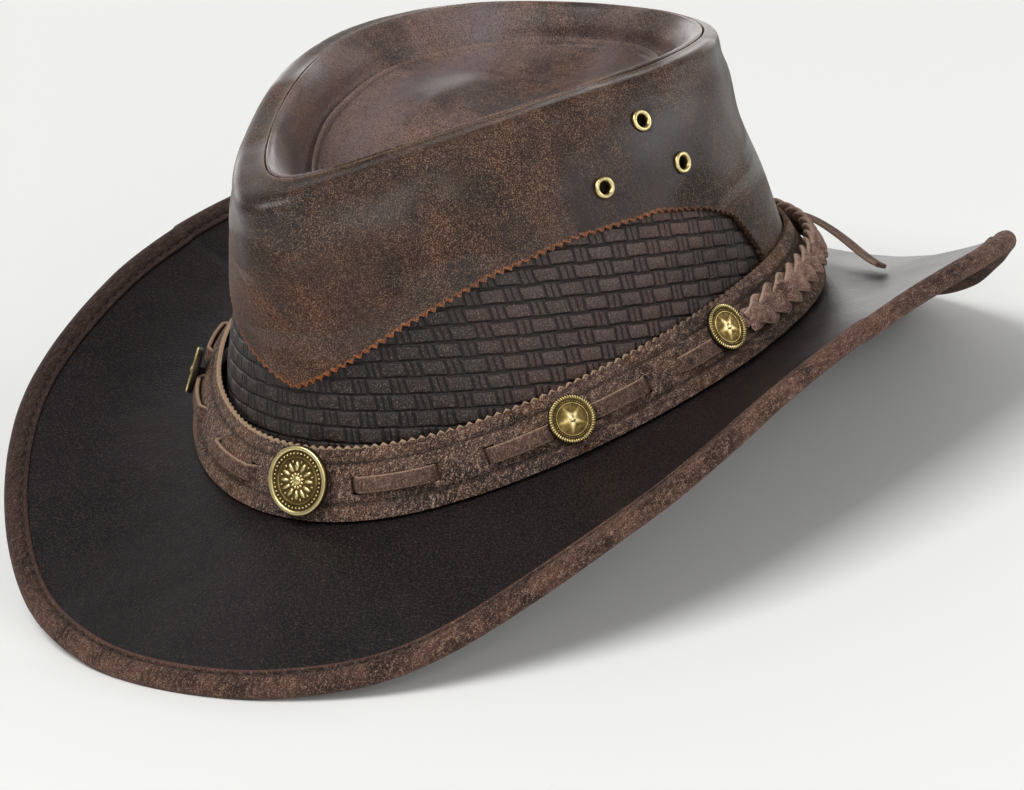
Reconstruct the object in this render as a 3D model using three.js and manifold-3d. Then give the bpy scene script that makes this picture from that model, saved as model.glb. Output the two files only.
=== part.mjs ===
// Leather bush hat, resting on the front and back of its brim.
// Millimetres, +Z up, the front of the hat towards -Y, the wearer's left towards +X.
// Angles round the hat are measured from the front, positive towards +X, in degrees.
import * as THREE from 'three';
import { mergeVertices } from 'three/addons/utils/BufferGeometryUtils.js';
import Module from 'manifold-3d';

const wasm = await Module();
wasm.setup();

// Driving dimensions of the crown
const MOUTH_HALF_LENGTH = 104.5;
const MOUTH_HALF_WIDTH = 81.5;
const MOUTH_FRONT = 28;
const MOUTH_SIDE = 42.5;
const MOUTH_BACK = 34.5;
const CROWN_HEIGHT = 99.5;

// Leather thicknesses and clearances
const CROWN_LEATHER = 1.8;
const PANEL_LEATHER = 1.5;
const BRIM_LEATHER = 3;
const BAND_LEATHER = 1.8;
const BINDING_LEATHER = 1.4;
const GAP = 0.3;
const SEAM_GAP = 0.6;
const PANEL_CLEARANCE = 0.8;
const BINDING_CLEARANCE = 0.45;
const FOOT_LIFT = 0.5;
const BAND_FOOT_LIFT = 0.9;

// Brim
const REACH_FRONT = 179;
const REACH_SIDE = 133;
const REACH_BACK = 156;
const EDGE_RISE = 55;
const EDGE_ROLL = 0.4;
const FLATTENING_FRONT = 1;
const FLATTENING_BACK = 1.7;
const BINDING_TOP_WIDTH = 9;
const BINDING_BOTTOM_WIDTH = 7;
const BEND_FRONT = 1.35;
const BEND_SIDE = 2.1;
const BEND_BACK = 1.7;

// Weave panel
const PANEL_TUCK = 0.1;
const PANEL_END = 120;

// Hatband
const BAND_FOOT_STANDOFF = 7.4;
const BAND_TOP_STANDOFF = 3.8;
const BAND_HEIGHT = 20;
const SLOT_LENGTH = 5;
const SLOT_CLEARANCE = 0.5;
const POST_CLEARANCE = 0.3;

// Lace and braid
const LACE_WIDTH = 5.6;
const LACE_THICKNESS = 1.5;
const LACE_HEIGHT_SHARE = 0.47;
const LACE_END = 84.5;
const LACE_CLEARANCE = 0.45;
const DIVE_LENGTH = 4.2;
const BRAID_WIDTH = 10;
const BRAID_THICKNESS = 4.4;
const BRAID_SWING = 2.2;
const BRAID_SWELL = 1;
const BRAID_PITCH = 8.2;
const BRAID_START = 93;

// Studs and eyelets
const STUD_STANDOFF = LACE_THICKNESS + LACE_CLEARANCE + GAP;
const FRONT_STUD_DIAMETER = 20.7;
const FRONT_STUD_ANGLE = 2.5;
const SMALL_STUD_DIAMETER = 14.3;
const STUD_THICKNESS = 1.6;
const STUD_RIM = 0.5;
const STUD_RIM_WIDTH = 1.3;
const STUD_CROWNING = 0.25;
const STUD_RELIEF = 0.85;
const POST_RADIUS = 1.6;
const EYELET_RADIUS = 3.4;
const EYELET_BORE_RADIUS = 1.8;
const EYELET_BARREL_RADIUS = 2.4;
const EYELET_ROLL = 0.9;

// Free end of the lace
const TAIL_WIDTH = 4;
const TAIL_THICKNESS = 1.6;

// Facets
const COLUMNS = 60;
const ROUND_SIDES = 10;
const STUD_SIDES = 18;
const UPPER_ROWS = [4, 4.7, 5.3];
const BRIM_ROWS = [0, 0.16, 0.4, 0.64];
const PLANE_SHIFT = (REACH_FRONT - REACH_BACK) / 2;
const INSET = CROWN_LEATHER + PANEL_CLEARANCE + PANEL_LEATHER;

// Crown sections: lengths and shifts as shares of the mouth's half length, widths of its half width,
// heights above the mouth as shares of the crown's height at front, side and back, and how much
// narrower the section is at the front.
const CROWN_SECTIONS = [
  { length: 1, width: 1, shift: -0.024, front: 0, side: 0, back: 0, taper: 0 },
  { length: 0.967, width: 0.942, shift: -0.038, front: 0.197, side: 0.197, back: 0.197, taper: 0 },
  { length: 0.906, width: 0.9, shift: -0.091, front: 0.44, side: 0.42, back: 0.405, taper: 0.165 },
  { length: 0.87, width: 0.833, shift: -0.159, front: 0.684, side: 0.645, back: 0.62, taper: 0.33 },
  { length: 0.889, width: 0.762, shift: -0.173, front: 0.84, side: 0.79, back: 0.775, taper: 0.43 },
  { length: 0.885, width: 0.703, shift: -0.174, front: 0.95, side: 0.872, back: 0.86, taper: 0.5 },
  { length: 0.813, width: 0.633, shift: -0.11, front: 0.995, side: 0.885, back: 0.88, taper: 0.5 },
];

// Top piece, from its rim through the gutter and the raised line to the dished floor
const TOP_SECTIONS = [
  { length: 0.785, width: 0.604, shift: -0.108, front: 0.993, side: 0.884, back: 0.878, taper: 0.48 },
  { length: 0.717, width: 0.565, shift: -0.071, front: 0.9, side: 0.82, back: 0.825, taper: 0.32 },
  { length: 0.65, width: 0.545, shift: -0.024, front: 0.775, side: 0.752, back: 0.775, taper: 0.14 },
  { length: 0.612, width: 0.515, shift: -0.019, front: 0.775, side: 0.76, back: 0.785, taper: 0.1 },
  { length: 0.579, width: 0.48, shift: -0.019, front: 0.758, side: 0.745, back: 0.768, taper: 0.08 },
  { length: 0.287, width: 0.24, shift: -0.019, front: 0.735, side: 0.735, back: 0.748, taper: 0.04 },
];
const TOP_CENTRE_HEIGHT = 0.73;

// Lower edge of the crown leather: share of the way from the band's top to the shoulder
const EDGE_CURVE = [
  { angle: 0, level: 0.24 },
  { angle: 16, level: 0.335 },
  { angle: 33, level: 0.43 },
  { angle: 53, level: 0.495 },
  { angle: 72, level: 0.51 },
  { angle: 90, level: 0.47 },
  { angle: 101, level: 0.38 },
  { angle: 108, level: 0.28 },
  { angle: 113, level: 0.05 },
  { angle: 116, level: -0.33 },
  { angle: 180, level: -0.33 },
];

// Brim edge: reach past the side reach as a share of what front or back adds, and rise as a share
const BRIM_EDGE = [
  { angle: 0, reach: 1, rise: 0 },
  { angle: 12, reach: 0.965, rise: 0.02 },
  { angle: 25, reach: 0.84, rise: 0.14 },
  { angle: 50, reach: 0.43, rise: 0.66 },
  { angle: 75, reach: 0.03, rise: 0.98 },
  { angle: 100, reach: 0.04, rise: 1.05 },
  { angle: 125, reach: 0.78, rise: 0.93 },
  { angle: 140, reach: 0.9, rise: 0.56 },
  { angle: 150, reach: 0.95, rise: 0.28 },
  { angle: 160, reach: 0.98, rise: 0.09 },
  { angle: 170, reach: 1, rise: 0.01 },
  { angle: 180, reach: 1, rise: 0 },
];

// Stretches of the lace that show outside the band
const LACE_STRETCHES = [
  { from: -95, to: -77 },
  { from: -68.5, to: -58.5 },
  { from: -50, to: -38 },
  { from: -26, to: -11.5 },
  { from: 14, to: 29 },
  { from: 39.5, to: 50.5 },
  { from: 58.5, to: 69 },
  { from: 77, to: 95 },
];

// Small studs: angle and share of the way up the band
const SMALL_STUDS = [
  { name: 'stud_right_front', angle: -52, place: 0.52 },
  { name: 'stud_left_front', angle: 54, place: 0.52 },
  { name: 'stud_right_rear', angle: -87.5, place: 0.6 },
  { name: 'stud_left_rear', angle: 87.5, place: 0.6 },
];

// Eyelets: angle and share of the way from the band's top to the shoulder
const EYELETS = [
  { name: 'eyelet_left_1', angle: 82, level: 0.655 },
  { name: 'eyelet_left_2', angle: 100.5, level: 0.62 },
  { name: 'eyelet_left_3', angle: 96, level: 0.81 },
  { name: 'eyelet_right_1', angle: -82, level: 0.655 },
  { name: 'eyelet_right_2', angle: -100.5, level: 0.62 },
  { name: 'eyelet_right_3', angle: -96, level: 0.81 },
];

// Route of the lace's free end, chosen by hand
const TAIL_ROUTE = [
  [27, 106.6, 44.4],
  [36, 105, 44.6],
  [46, 100.7, 44.2],
  [58, 93.5, 43.8],
  [70, 85.3, 43.4],
  [79, 78.7, 43.8],
  [85, 74.7, 44.3],
];

const radians = THREE.MathUtils.degToRad;
const lerp = THREE.MathUtils.lerp;

// Value round the hat from its front, side and back values
function around(front, side, back, angle) {
  const ends = (front + back) / 2;
  const mean = (ends + side) / 2;
  return mean + (front - back) / 2 * Math.cos(angle) + (ends - side) / 2 * Math.cos(2 * angle);
}

function mouthHeight(angle) {
  return around(MOUTH_FRONT, MOUTH_SIDE, MOUTH_BACK, angle);
}

// Column of a table at an angle, by a smooth or a straight line through its rows
function lookUp(rows, column, angle, smooth) {
  const degrees = Math.abs(THREE.MathUtils.radToDeg(angle));
  const turned = degrees > 180 ? 360 - degrees : degrees;
  let next = rows.findIndex((row) => row.angle >= turned - 1e-9);
  next = Math.max(next, 1);
  const low = rows[next - 1];
  const high = rows[next];
  const span = high.angle - low.angle;
  const share = (turned - low.angle) / span;
  if (!smooth) return lerp(low[column], high[column], share);
  const slope = (index) => {
    if (index === 0 || index === rows.length - 1) return 0;
    const before = rows[index - 1];
    const after = rows[index + 1];
    return (after[column] - before[column]) / (after.angle - before.angle);
  };
  const square = share * share;
  const cube = square * share;
  return (2 * cube - 3 * square + 1) * low[column] + (cube - 2 * square + share) * span * slope(next - 1)
    + (3 * square - 2 * cube) * high[column] + (cube - square) * span * slope(next);
}

function sectionPoint(section, angle, grow = 0) {
  const sine = Math.sin(angle);
  const cosine = Math.cos(angle);
  const width = MOUTH_HALF_WIDTH * section.width + grow;
  const length = MOUTH_HALF_LENGTH * section.length + grow;
  return new THREE.Vector3(
    width * sine * (1 - section.taper * cosine),
    MOUTH_HALF_LENGTH * section.shift - length * cosine,
    mouthHeight(angle) + CROWN_HEIGHT * around(section.front, section.side, section.back, angle),
  );
}

// Point between sections on a smooth line up the crown, place counted in sections
function crownPoint(angle, place) {
  const line = new THREE.CatmullRomCurve3(CROWN_SECTIONS.map((section) => sectionPoint(section, angle)));
  return line.getPoint(place / (CROWN_SECTIONS.length - 1));
}

// Place of a level between the band's top and the shoulder, where the shoulder is section five
function placeOf(level) {
  const stops = [1, 2, 3, 5];
  if (level < 0) return Math.max(0, 1 + level * 3);
  const scaled = Math.min(level * 3, 2.999);
  const index = Math.floor(scaled);
  return lerp(stops[index], stops[index + 1], scaled - index);
}

// A sheet is a surface of angle and place, the range of its places, and the side its outer face is on
function normalAt(sheet, angle, place) {
  const step = 0.01;
  const up = sheet.point(angle, Math.min(sheet.high, place + step));
  const down = sheet.point(angle, Math.max(sheet.low, place - step));
  const along = sheet.point(angle + step, place).sub(sheet.point(angle - step, place));
  return along.cross(up.sub(down)).multiplyScalar(sheet.side).normalize();
}

// Sheet moved along its normal
function offsetSheet(sheet, distance) {
  const point = (angle, place) => sheet.point(angle, place)
    .addScaledVector(normalAt(sheet, angle, place), distance);
  return { ...sheet, point };
}

function signedVolume(points, faces) {
  let volume = 0;
  for (let i = 0; i < faces.length; i += 3) {
    const [a, b, c] = [points[faces[i]], points[faces[i + 1]], points[faces[i + 2]]];
    volume += a.dot(b.clone().cross(c)) / 6;
  }
  return volume;
}

function makeGeometry(points, faces) {
  const geometry = new THREE.BufferGeometry();
  const outward = signedVolume(points, faces) > 0;
  const turned = outward ? faces : faces.slice().reverse();
  geometry.setAttribute('position', new THREE.Float32BufferAttribute(points.flatMap((p) => p.toArray()), 3));
  geometry.setIndex(turned);
  return geometry;
}

// Closed body from rings of points: neighbouring rings are joined, and so are the last and the first
function bodyOfRings(rings, open = false) {
  const count = rings[0].length;
  const points = rings.flat();
  const faces = [];
  const columns = open ? count - 1 : count;
  for (let ring = 0; ring < rings.length; ring += 1) {
    const other = (ring + 1) % rings.length;
    for (let column = 0; column < columns; column += 1) {
      const next = (column + 1) % count;
      const [a, b] = [ring * count + column, ring * count + next];
      const [c, d] = [other * count + column, other * count + next];
      faces.push(a, b, c, b, d, c);
    }
  }
  if (open) {
    for (let ring = 1; ring < rings.length / 2; ring += 1) {
      const [a, b] = [ring - 1, ring];
      const [c, d] = [rings.length - 1 - b, rings.length - 1 - a];
      for (const [column, turn] of [[0, true], [count - 1, false]]) {
        const [p, q, r, s] = [a, b, c, d].map((index) => index * count + column);
        if (turn) faces.push(p, q, s, q, r, s);
        else faces.push(p, s, q, q, s, r);
      }
    }
  }
  return makeGeometry(points, faces);
}

// Closed strip from lines along its corners, with flat ends
function bodyOfStrip(lines) {
  const count = lines[0].length;
  const end = count - 1;
  const faces = [];
  lines.forEach((unused, line) => {
    const other = (line + 1) % lines.length;
    for (let i = 0; i < end; i += 1) {
      const [a, b] = [line * count + i, line * count + i + 1];
      const [c, d] = [other * count + i, other * count + i + 1];
      faces.push(a, b, c, b, d, c);
    }
    if (line > 0 && other > 0) {
      faces.push(0, line * count, other * count);
      faces.push(end, end + other * count, end + line * count);
    }
  });
  return makeGeometry(lines.flat(), faces);
}

function angleRange(from, to, columns, closed) {
  const steps = closed ? columns : columns + 1;
  return Array.from({ length: steps }, (unused, i) => radians(from + (to - from) * i / columns));
}

// Point across the leather from a point of its outer face, straight in, level or plumb
const STRAIGHT = new THREE.Vector3(1, 1, 1);
const LEVEL = new THREE.Vector3(1, 1, 0);
const PLUMB = new THREE.Vector3(0, 0, 1);

function pointAcross(sheet, angle, place, thickness, cutting) {
  const normal = normalAt(sheet, angle, place);
  const way = normal.clone().multiply(cutting);
  return sheet.point(angle, place).addScaledVector(way, -thickness / way.dot(normal));
}

// Wall of even thickness under a sheet's outer face; placesAt gives the rows at an angle, and foot
// and top say how its lower and upper edges are cut
function wall(sheet, angles, placesAt, thickness, { foot = STRAIGHT, top = STRAIGHT, open = false } = {}) {
  const rows = placesAt(0).map((unused, row) => row);
  const last = rows.length - 1;
  const outer = rows.map((row) => angles.map((angle) => sheet.point(angle, placesAt(angle)[row])));
  const inner = rows.map((row) => angles.map((angle) => {
    let cutting = STRAIGHT;
    if (row === 0) cutting = foot;
    if (row === last) cutting = top;
    return pointAcross(sheet, angle, placesAt(angle)[row], thickness, cutting);
  }));
  return bodyOfRings(outer.concat(inner.reverse()), open);
}

function toManifold(geometry) {
  const bare = geometry.clone();
  bare.deleteAttribute('normal');
  bare.deleteAttribute('uv');
  const merged = mergeVertices(bare, 1e-4);
  return new wasm.Manifold(new wasm.Mesh({
    numProp: 3,
    vertProperties: new Float32Array(merged.attributes.position.array),
    triVerts: new Uint32Array(merged.index.array),
  }));
}

function fromManifold(solid) {
  const mesh = solid.getMesh();
  const geometry = new THREE.BufferGeometry();
  geometry.setAttribute('position', new THREE.BufferAttribute(new Float32Array(mesh.vertProperties), 3));
  geometry.setIndex(new THREE.BufferAttribute(new Uint32Array(mesh.triVerts), 1));
  return geometry;
}

function cut(geometry, tools) {
  let solid = toManifold(geometry);
  for (const tool of tools) solid = solid.subtract(toManifold(tool));
  return fromManifold(solid);
}

function join(geometries) {
  let solid = toManifold(geometries[0]);
  for (const geometry of geometries.slice(1)) solid = solid.add(toManifold(geometry));
  return fromManifold(solid);
}

// Matrix that stands a piece made along +Z on a surface, its +X along the hat's round
function standOn(sheet, angle, place, distance) {
  const normal = normalAt(sheet, angle, place);
  const along = sheet.point(angle + 0.01, place).sub(sheet.point(angle - 0.01, place)).normalize();
  const up = normal.clone().cross(along);
  const matrix = new THREE.Matrix4().makeBasis(along, up, normal);
  return matrix.setPosition(sheet.point(angle, place).addScaledVector(normal, distance));
}

const CROWN = { point: crownPoint, low: 0, high: CROWN_SECTIONS.length - 1, side: 1 };
const FOOT_PLACE = FOOT_LIFT / (CROWN_HEIGHT * CROWN_SECTIONS[1].side);

// Crown wall
function crownWallGeometry() {
  const placesAt = (angle) => {
    const foot = Math.max(placeOf(lookUp(EDGE_CURVE, 'level', angle, false)), FOOT_PLACE);
    const lower = [0, 1, 2].map((row) => lerp(foot, UPPER_ROWS[0], row / 3));
    return [...lower, ...UPPER_ROWS, CROWN.high];
  };
  const angles = angleRange(0, 360, COLUMNS, true);
  return wall(CROWN, angles, placesAt, CROWN_LEATHER, { foot: LEVEL, top: PLUMB });
}

function eyeletHole(eyelet) {
  const hole = new THREE.CylinderGeometry(
    EYELET_BARREL_RADIUS + GAP, EYELET_BARREL_RADIUS + GAP, 4 * CROWN_LEATHER, ROUND_SIDES);
  hole.rotateX(Math.PI / 2);
  return hole.applyMatrix4(standOn(CROWN, radians(eyelet.angle), placeOf(eyelet.level), 0));
}

// Eyelet: a rolled flange on the leather and a barrel through it
function eyeletGeometry(eyelet) {
  const profile = [
    [EYELET_BORE_RADIUS, -CROWN_LEATHER - GAP],
    [EYELET_BARREL_RADIUS, -CROWN_LEATHER - GAP],
    [EYELET_BARREL_RADIUS, GAP],
    [EYELET_RADIUS, GAP],
    [EYELET_RADIUS, GAP + EYELET_ROLL / 2],
    [(EYELET_RADIUS + EYELET_BORE_RADIUS) / 2, GAP + EYELET_ROLL],
    [EYELET_BORE_RADIUS, GAP + EYELET_ROLL / 2],
    [EYELET_BORE_RADIUS, -CROWN_LEATHER - GAP],
  ].map(([radius, height]) => new THREE.Vector2(radius, height));
  const body = new THREE.LatheGeometry(profile, ROUND_SIDES);
  body.rotateX(Math.PI / 2);
  body.applyMatrix4(standOn(CROWN, radians(eyelet.angle), placeOf(eyelet.level), 0));
  return fromManifold(toManifold(body));
}

// Weave panel, set in behind the crown leather and tucked under its edge
function panelGeometry() {
  const placesAt = (angle) => {
    const top = placeOf(Math.max(lookUp(EDGE_CURVE, 'level', angle, false), 0.06) + PANEL_TUCK);
    return [0, 1, 2, 3].map((row) => lerp(2.5 * FOOT_PLACE, top, row / 3));
  };
  const angles = angleRange(-PANEL_END, PANEL_END, COLUMNS * PANEL_END / 180, false);
  const sheet = offsetSheet(CROWN, -CROWN_LEATHER - PANEL_CLEARANCE);
  return wall(sheet, angles, placesAt, PANEL_LEATHER, { foot: LEVEL, open: true });
}

// Top piece
function topPoint(angle, place) {
  const rim = CROWN_SECTIONS[CROWN_SECTIONS.length - 1];
  const points = [sectionPoint(rim, angle, -SEAM_GAP)];
  for (const section of TOP_SECTIONS) points.push(sectionPoint(section, angle));
  const line = new THREE.CatmullRomCurve3(points);
  return line.getPoint(place / TOP_SECTIONS.length);
}

const TOP = { point: topPoint, low: 0, high: TOP_SECTIONS.length, side: 1 };

function topGeometry() {
  const angles = angleRange(0, 360, 44, true);
  const count = angles.length;
  const last = TOP.high;
  const rows = Array.from({ length: last + 1 }, (unused, row) => row);
  const upper = rows.map((row) => angles.map((angle) => topPoint(angle, row)));
  const lower = rows.map((row) => angles.map((angle) => (
    pointAcross(TOP, angle, row, CROWN_LEATHER, row === 0 ? PLUMB : STRAIGHT))));
  const middle = new THREE.Vector3(0, MOUTH_HALF_LENGTH * TOP_SECTIONS[last - 1].shift,
    around(MOUTH_FRONT, MOUTH_SIDE, MOUTH_BACK, Math.PI / 2) + CROWN_HEIGHT * TOP_CENTRE_HEIGHT);
  const points = upper.flat().concat(lower.flat(), [middle, middle.clone().setZ(middle.z - CROWN_LEATHER)]);
  const faces = [];
  const lowerStart = (last + 1) * count;
  for (let column = 0; column < count; column += 1) {
    const next = (column + 1) % count;
    for (let row = 0; row < last; row += 1) {
      for (const [start, turn] of [[0, false], [lowerStart, true]]) {
        const [a, b] = [start + row * count + column, start + row * count + next];
        const [c, d] = [a + count, b + count];
        if (turn) faces.push(a, c, b, b, c, d);
        else faces.push(a, b, c, b, d, c);
      }
    }
    faces.push(lowerStart + column, next, column, lowerStart + column, lowerStart + next, next);
    const inner = last * count;
    faces.push(inner + column, inner + next, points.length - 2);
    faces.push(lowerStart + inner + next, lowerStart + inner + column, points.length - 1);
  }
  return makeGeometry(points, faces);
}

// Brim
function brimEdgePoint(angle) {
  const reach = lookUp(BRIM_EDGE, 'reach', angle, true);
  const far = Math.cos(angle) > 0 ? REACH_FRONT : REACH_BACK;
  const radius = lerp(REACH_SIDE, far, reach);
  const rise = EDGE_RISE * lookUp(BRIM_EDGE, 'rise', angle, true);
  const flattening = lerp(FLATTENING_BACK, FLATTENING_FRONT, (1 + Math.cos(angle)) / 2);
  const height = rise + BRIM_LEATHER + BINDING_CLEARANCE + BINDING_LEATHER - flattening;
  return new THREE.Vector3(radius * Math.sin(angle), -radius * Math.cos(angle), height);
}

function brimPoint(angle, place) {
  const start = sectionPoint(CROWN_SECTIONS[0], angle, -INSET);
  const edge = brimEdgePoint(angle);
  const bend = around(BEND_FRONT, BEND_SIDE, BEND_BACK, angle);
  const flat = start.clone().lerp(edge, place);
  return flat.setZ(lerp(start.z, edge.z, place ** bend));
}

const BRIM = { point: brimPoint, low: 0, high: 1, side: -1 };

// Place on the brim at a distance in from its edge
function placeFromEdge(angle, distance) {
  return 1 - 0.1 * distance / brimPoint(angle, 1).distanceTo(brimPoint(angle, 0.9));
}

function brimGeometry() {
  const placesAt = (angle) => [...BRIM_ROWS, placeFromEdge(angle, BINDING_TOP_WIDTH), 1];
  return wall(BRIM, angleRange(0, 360, COLUMNS, true), placesAt, BRIM_LEATHER);
}

// Binding: a strip folded round the brim's edge, flattened where the hat rests
function bindingGeometry() {
  const angles = angleRange(0, 360, COLUMNS, true);
  const above = (distance) => offsetSheet(BRIM, distance);
  const below = (distance) => offsetSheet(BRIM, -BRIM_LEATHER - distance);
  const inside = BINDING_CLEARANCE;
  const outside = BINDING_CLEARANCE + BINDING_LEATHER;
  const section = [
    [above(inside), inside], [below(inside), inside],
    [below(inside), -BINDING_BOTTOM_WIDTH], [below(outside), -BINDING_BOTTOM_WIDTH],
    [below(outside), inside], [above(-BRIM_LEATHER / 2), outside + EDGE_ROLL], [above(outside), inside],
    [above(outside), -BINDING_TOP_WIDTH], [above(inside), -BINDING_TOP_WIDTH],
  ];
  const rings = section.map(([sheet, past]) => angles.map((angle) => {
    const edge = sheet.point(angle, 1);
    const along = edge.clone().sub(sheet.point(angle, 0.9)).normalize();
    return past > 0 ? edge.addScaledVector(along, past) : sheet.point(angle, placeFromEdge(angle, -past));
  }));
  const floor = new THREE.BoxGeometry(4 * REACH_FRONT, 4 * REACH_FRONT, EDGE_RISE);
  return cut(bodyOfRings(rings), [floor.translate(0, 0, -EDGE_RISE / 2)]);
}

// Hatband
function bandPoint(angle, place) {
  const start = brimPoint(angle, 0);
  const run = Math.hypot(brimEdgePoint(angle).x - start.x, brimEdgePoint(angle).y - start.y);
  const foot = brimPoint(angle, (BAND_FOOT_STANDOFF + INSET) / run);
  const top = sectionPoint(CROWN_SECTIONS[1], angle, BAND_TOP_STANDOFF);
  foot.z += BAND_FOOT_LIFT;
  top.z = mouthHeight(angle) + BAND_HEIGHT;
  return foot.lerp(top, place);
}

const BAND = { point: bandPoint, low: 0, high: 1, side: 1 };
const STUDS = [{ name: 'stud_front', angle: FRONT_STUD_ANGLE, place: 0.55, diameter: FRONT_STUD_DIAMETER }].concat(
  SMALL_STUDS.map((stud) => ({ ...stud, diameter: SMALL_STUD_DIAMETER })));

function bandGeometry() {
  const angles = angleRange(0, 360, COLUMNS, true);
  const body = wall(BAND, angles, () => [0, 1], BAND_LEATHER, { foot: LEVEL });
  const tools = [];
  for (const stretch of LACE_STRETCHES) {
    for (const end of [stretch.from, stretch.to]) {
      if (Math.abs(end) > LACE_END) continue;
      const slot = new THREE.BoxGeometry(SLOT_LENGTH, LACE_WIDTH + 2 * SLOT_CLEARANCE, 4 * BAND_LEATHER);
      slot.applyMatrix4(standOn(BAND, radians(end), LACE_HEIGHT_SHARE, -BAND_LEATHER / 2));
      tools.push(slot);
    }
  }
  for (const stud of STUDS) {
    const radius = POST_RADIUS + POST_CLEARANCE;
    const hole = new THREE.CylinderGeometry(radius, radius, 4 * BAND_LEATHER, ROUND_SIDES);
    hole.rotateX(Math.PI / 2);
    tools.push(hole.applyMatrix4(standOn(BAND, radians(stud.angle), stud.place, 0)));
  }
  return cut(body, tools);
}

// Flat strip along the band: stations give angle, place on the band and distance from its face
function stripGeometry(stations, width, thickness) {
  const rings = [[], [], [], []];
  const bandLength = bandPoint(0, 0).distanceTo(bandPoint(0, 1));
  for (const { angle, place, distance } of stations) {
    const across = width / 2 / bandLength;
    const corners = [[-across, -thickness / 2], [across, -thickness / 2],
      [across, thickness / 2], [-across, thickness / 2]];
    corners.forEach(([side, depth], corner) => {
      const normal = normalAt(BAND, angle, 0.5);
      rings[corner].push(bandPoint(angle, place + side).addScaledVector(normal, distance + depth));
    });
  }
  return bodyOfStrip(rings);
}

// Lace: outside the band on its stretches, inside between them
function laceGeometry() {
  const outside = LACE_CLEARANCE + LACE_THICKNESS / 2;
  const inside = -BAND_LEATHER - outside;
  const dive = THREE.MathUtils.radToDeg(DIVE_LENGTH / 2 / MOUTH_HALF_LENGTH);
  const stops = [];
  for (const { from, to } of LACE_STRETCHES) {
    if (from > -LACE_END) stops.push([from - dive, inside], [from + dive, outside]);
    else stops.push([-LACE_END, outside]);
    if (to < LACE_END) stops.push([to - dive, outside], [to + dive, inside]);
    else stops.push([LACE_END, outside]);
  }
  const stations = [];
  stops.forEach(([degrees, distance], index) => {
    const previous = stops[index - 1];
    const level = previous && previous[1] === distance;
    const steps = level ? Math.ceil((degrees - previous[0]) / 5) : 1;
    for (let step = 1; step <= steps; step += 1) {
      const at = previous ? lerp(previous[0], degrees, step / steps) : degrees;
      stations.push({ angle: radians(at), place: LACE_HEIGHT_SHARE, distance });
    }
  });
  return stripGeometry(stations, LACE_WIDTH, LACE_THICKNESS);
}

// Braid: one plait whose ridge swings from side to side and whose edges swell at each crossing
function braidGeometry() {
  const run = radians(360 - 2 * BRAID_START);
  const length = run * (MOUTH_HALF_LENGTH + MOUTH_HALF_WIDTH) / 2;
  const crossings = Math.round(length / BRAID_PITCH);
  const bandLength = bandPoint(0, 0).distanceTo(bandPoint(0, 1));
  const rings = [[], [], [], [], []];
  for (let step = 0; step <= 2 * crossings; step += 1) {
    const angle = radians(BRAID_START) + run * step / (2 * crossings);
    const swing = Math.sin(Math.PI * (step + 0.5) / 2) * Math.SQRT2;
    const normal = normalAt(BAND, angle, 0.5);
    const left = -BRAID_WIDTH / 2 + Math.min(0, swing) * BRAID_SWELL;
    const right = BRAID_WIDTH / 2 + Math.max(0, swing) * BRAID_SWELL;
    const corners = [[left, GAP], [right, GAP], [right, BRAID_THICKNESS * 0.6],
      [swing * BRAID_SWING, BRAID_THICKNESS], [left, BRAID_THICKNESS * 0.6]];
    corners.forEach(([across, distance], corner) => {
      rings[corner].push(bandPoint(angle, 0.5 + across / bandLength).addScaledVector(normal, distance));
    });
  }
  return bodyOfStrip(rings);
}

// Stud: a cast disc with a rim, a ring and a raised figure, on a short post
function studGeometry(stud) {
  const radius = stud.diameter / 2;
  const field = STUD_THICKNESS - STUD_RIM;
  const profile = [[0, 0], [radius, 0], [radius, STUD_THICKNESS - STUD_RIM / 2],
    [radius - STUD_RIM, STUD_THICKNESS], [radius - STUD_RIM_WIDTH, STUD_THICKNESS],
    [radius - STUD_RIM_WIDTH - STUD_RIM, field], [0, field + STUD_CROWNING]];
  const disc = new THREE.LatheGeometry(profile.map(([r, z]) => new THREE.Vector2(r, z)), STUD_SIDES);
  disc.rotateX(Math.PI / 2);
  const points = stud.name === 'stud_front' ? 8 : 5;
  const waist = stud.name === 'stud_front' ? 0.62 : 0.42;
  const reach = radius * 0.66;
  const outline = new THREE.Shape(Array.from({ length: 2 * points }, (unused, i) => {
    const turn = Math.PI / 2 + Math.PI * i / points;
    const r = i % 2 ? reach * waist : reach;
    return new THREE.Vector2(r * Math.cos(turn), r * Math.sin(turn));
  }));
  const figure = new THREE.ExtrudeGeometry(outline, { depth: STUD_RELIEF, bevelEnabled: false });
  figure.translate(0, 0, field - GAP / 2);
  const postLength = STUD_STANDOFF + BAND_LEATHER;
  const post = new THREE.CylinderGeometry(POST_RADIUS, POST_RADIUS, postLength, ROUND_SIDES);
  post.rotateX(Math.PI / 2);
  post.translate(0, 0, GAP - postLength / 2);
  const body = join([disc, figure, post]);
  return body.applyMatrix4(standOn(BAND, radians(stud.angle), stud.place, STUD_STANDOFF));
}

// Free end of the lace, an oblong section along its route
function tailGeometry() {
  const route = new THREE.CatmullRomCurve3(TAIL_ROUTE.map(([x, y, z]) => new THREE.Vector3(x, y, z)));
  const outline = new THREE.Shape(Array.from({ length: 8 }, (unused, i) => {
    const turn = Math.PI * (i + 0.5) / 4;
    return new THREE.Vector2(TAIL_WIDTH / 2 * Math.cos(turn), TAIL_THICKNESS / 2 * Math.sin(turn));
  }));
  return new THREE.ExtrudeGeometry(outline, { steps: 12, extrudePath: route });
}

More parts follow.
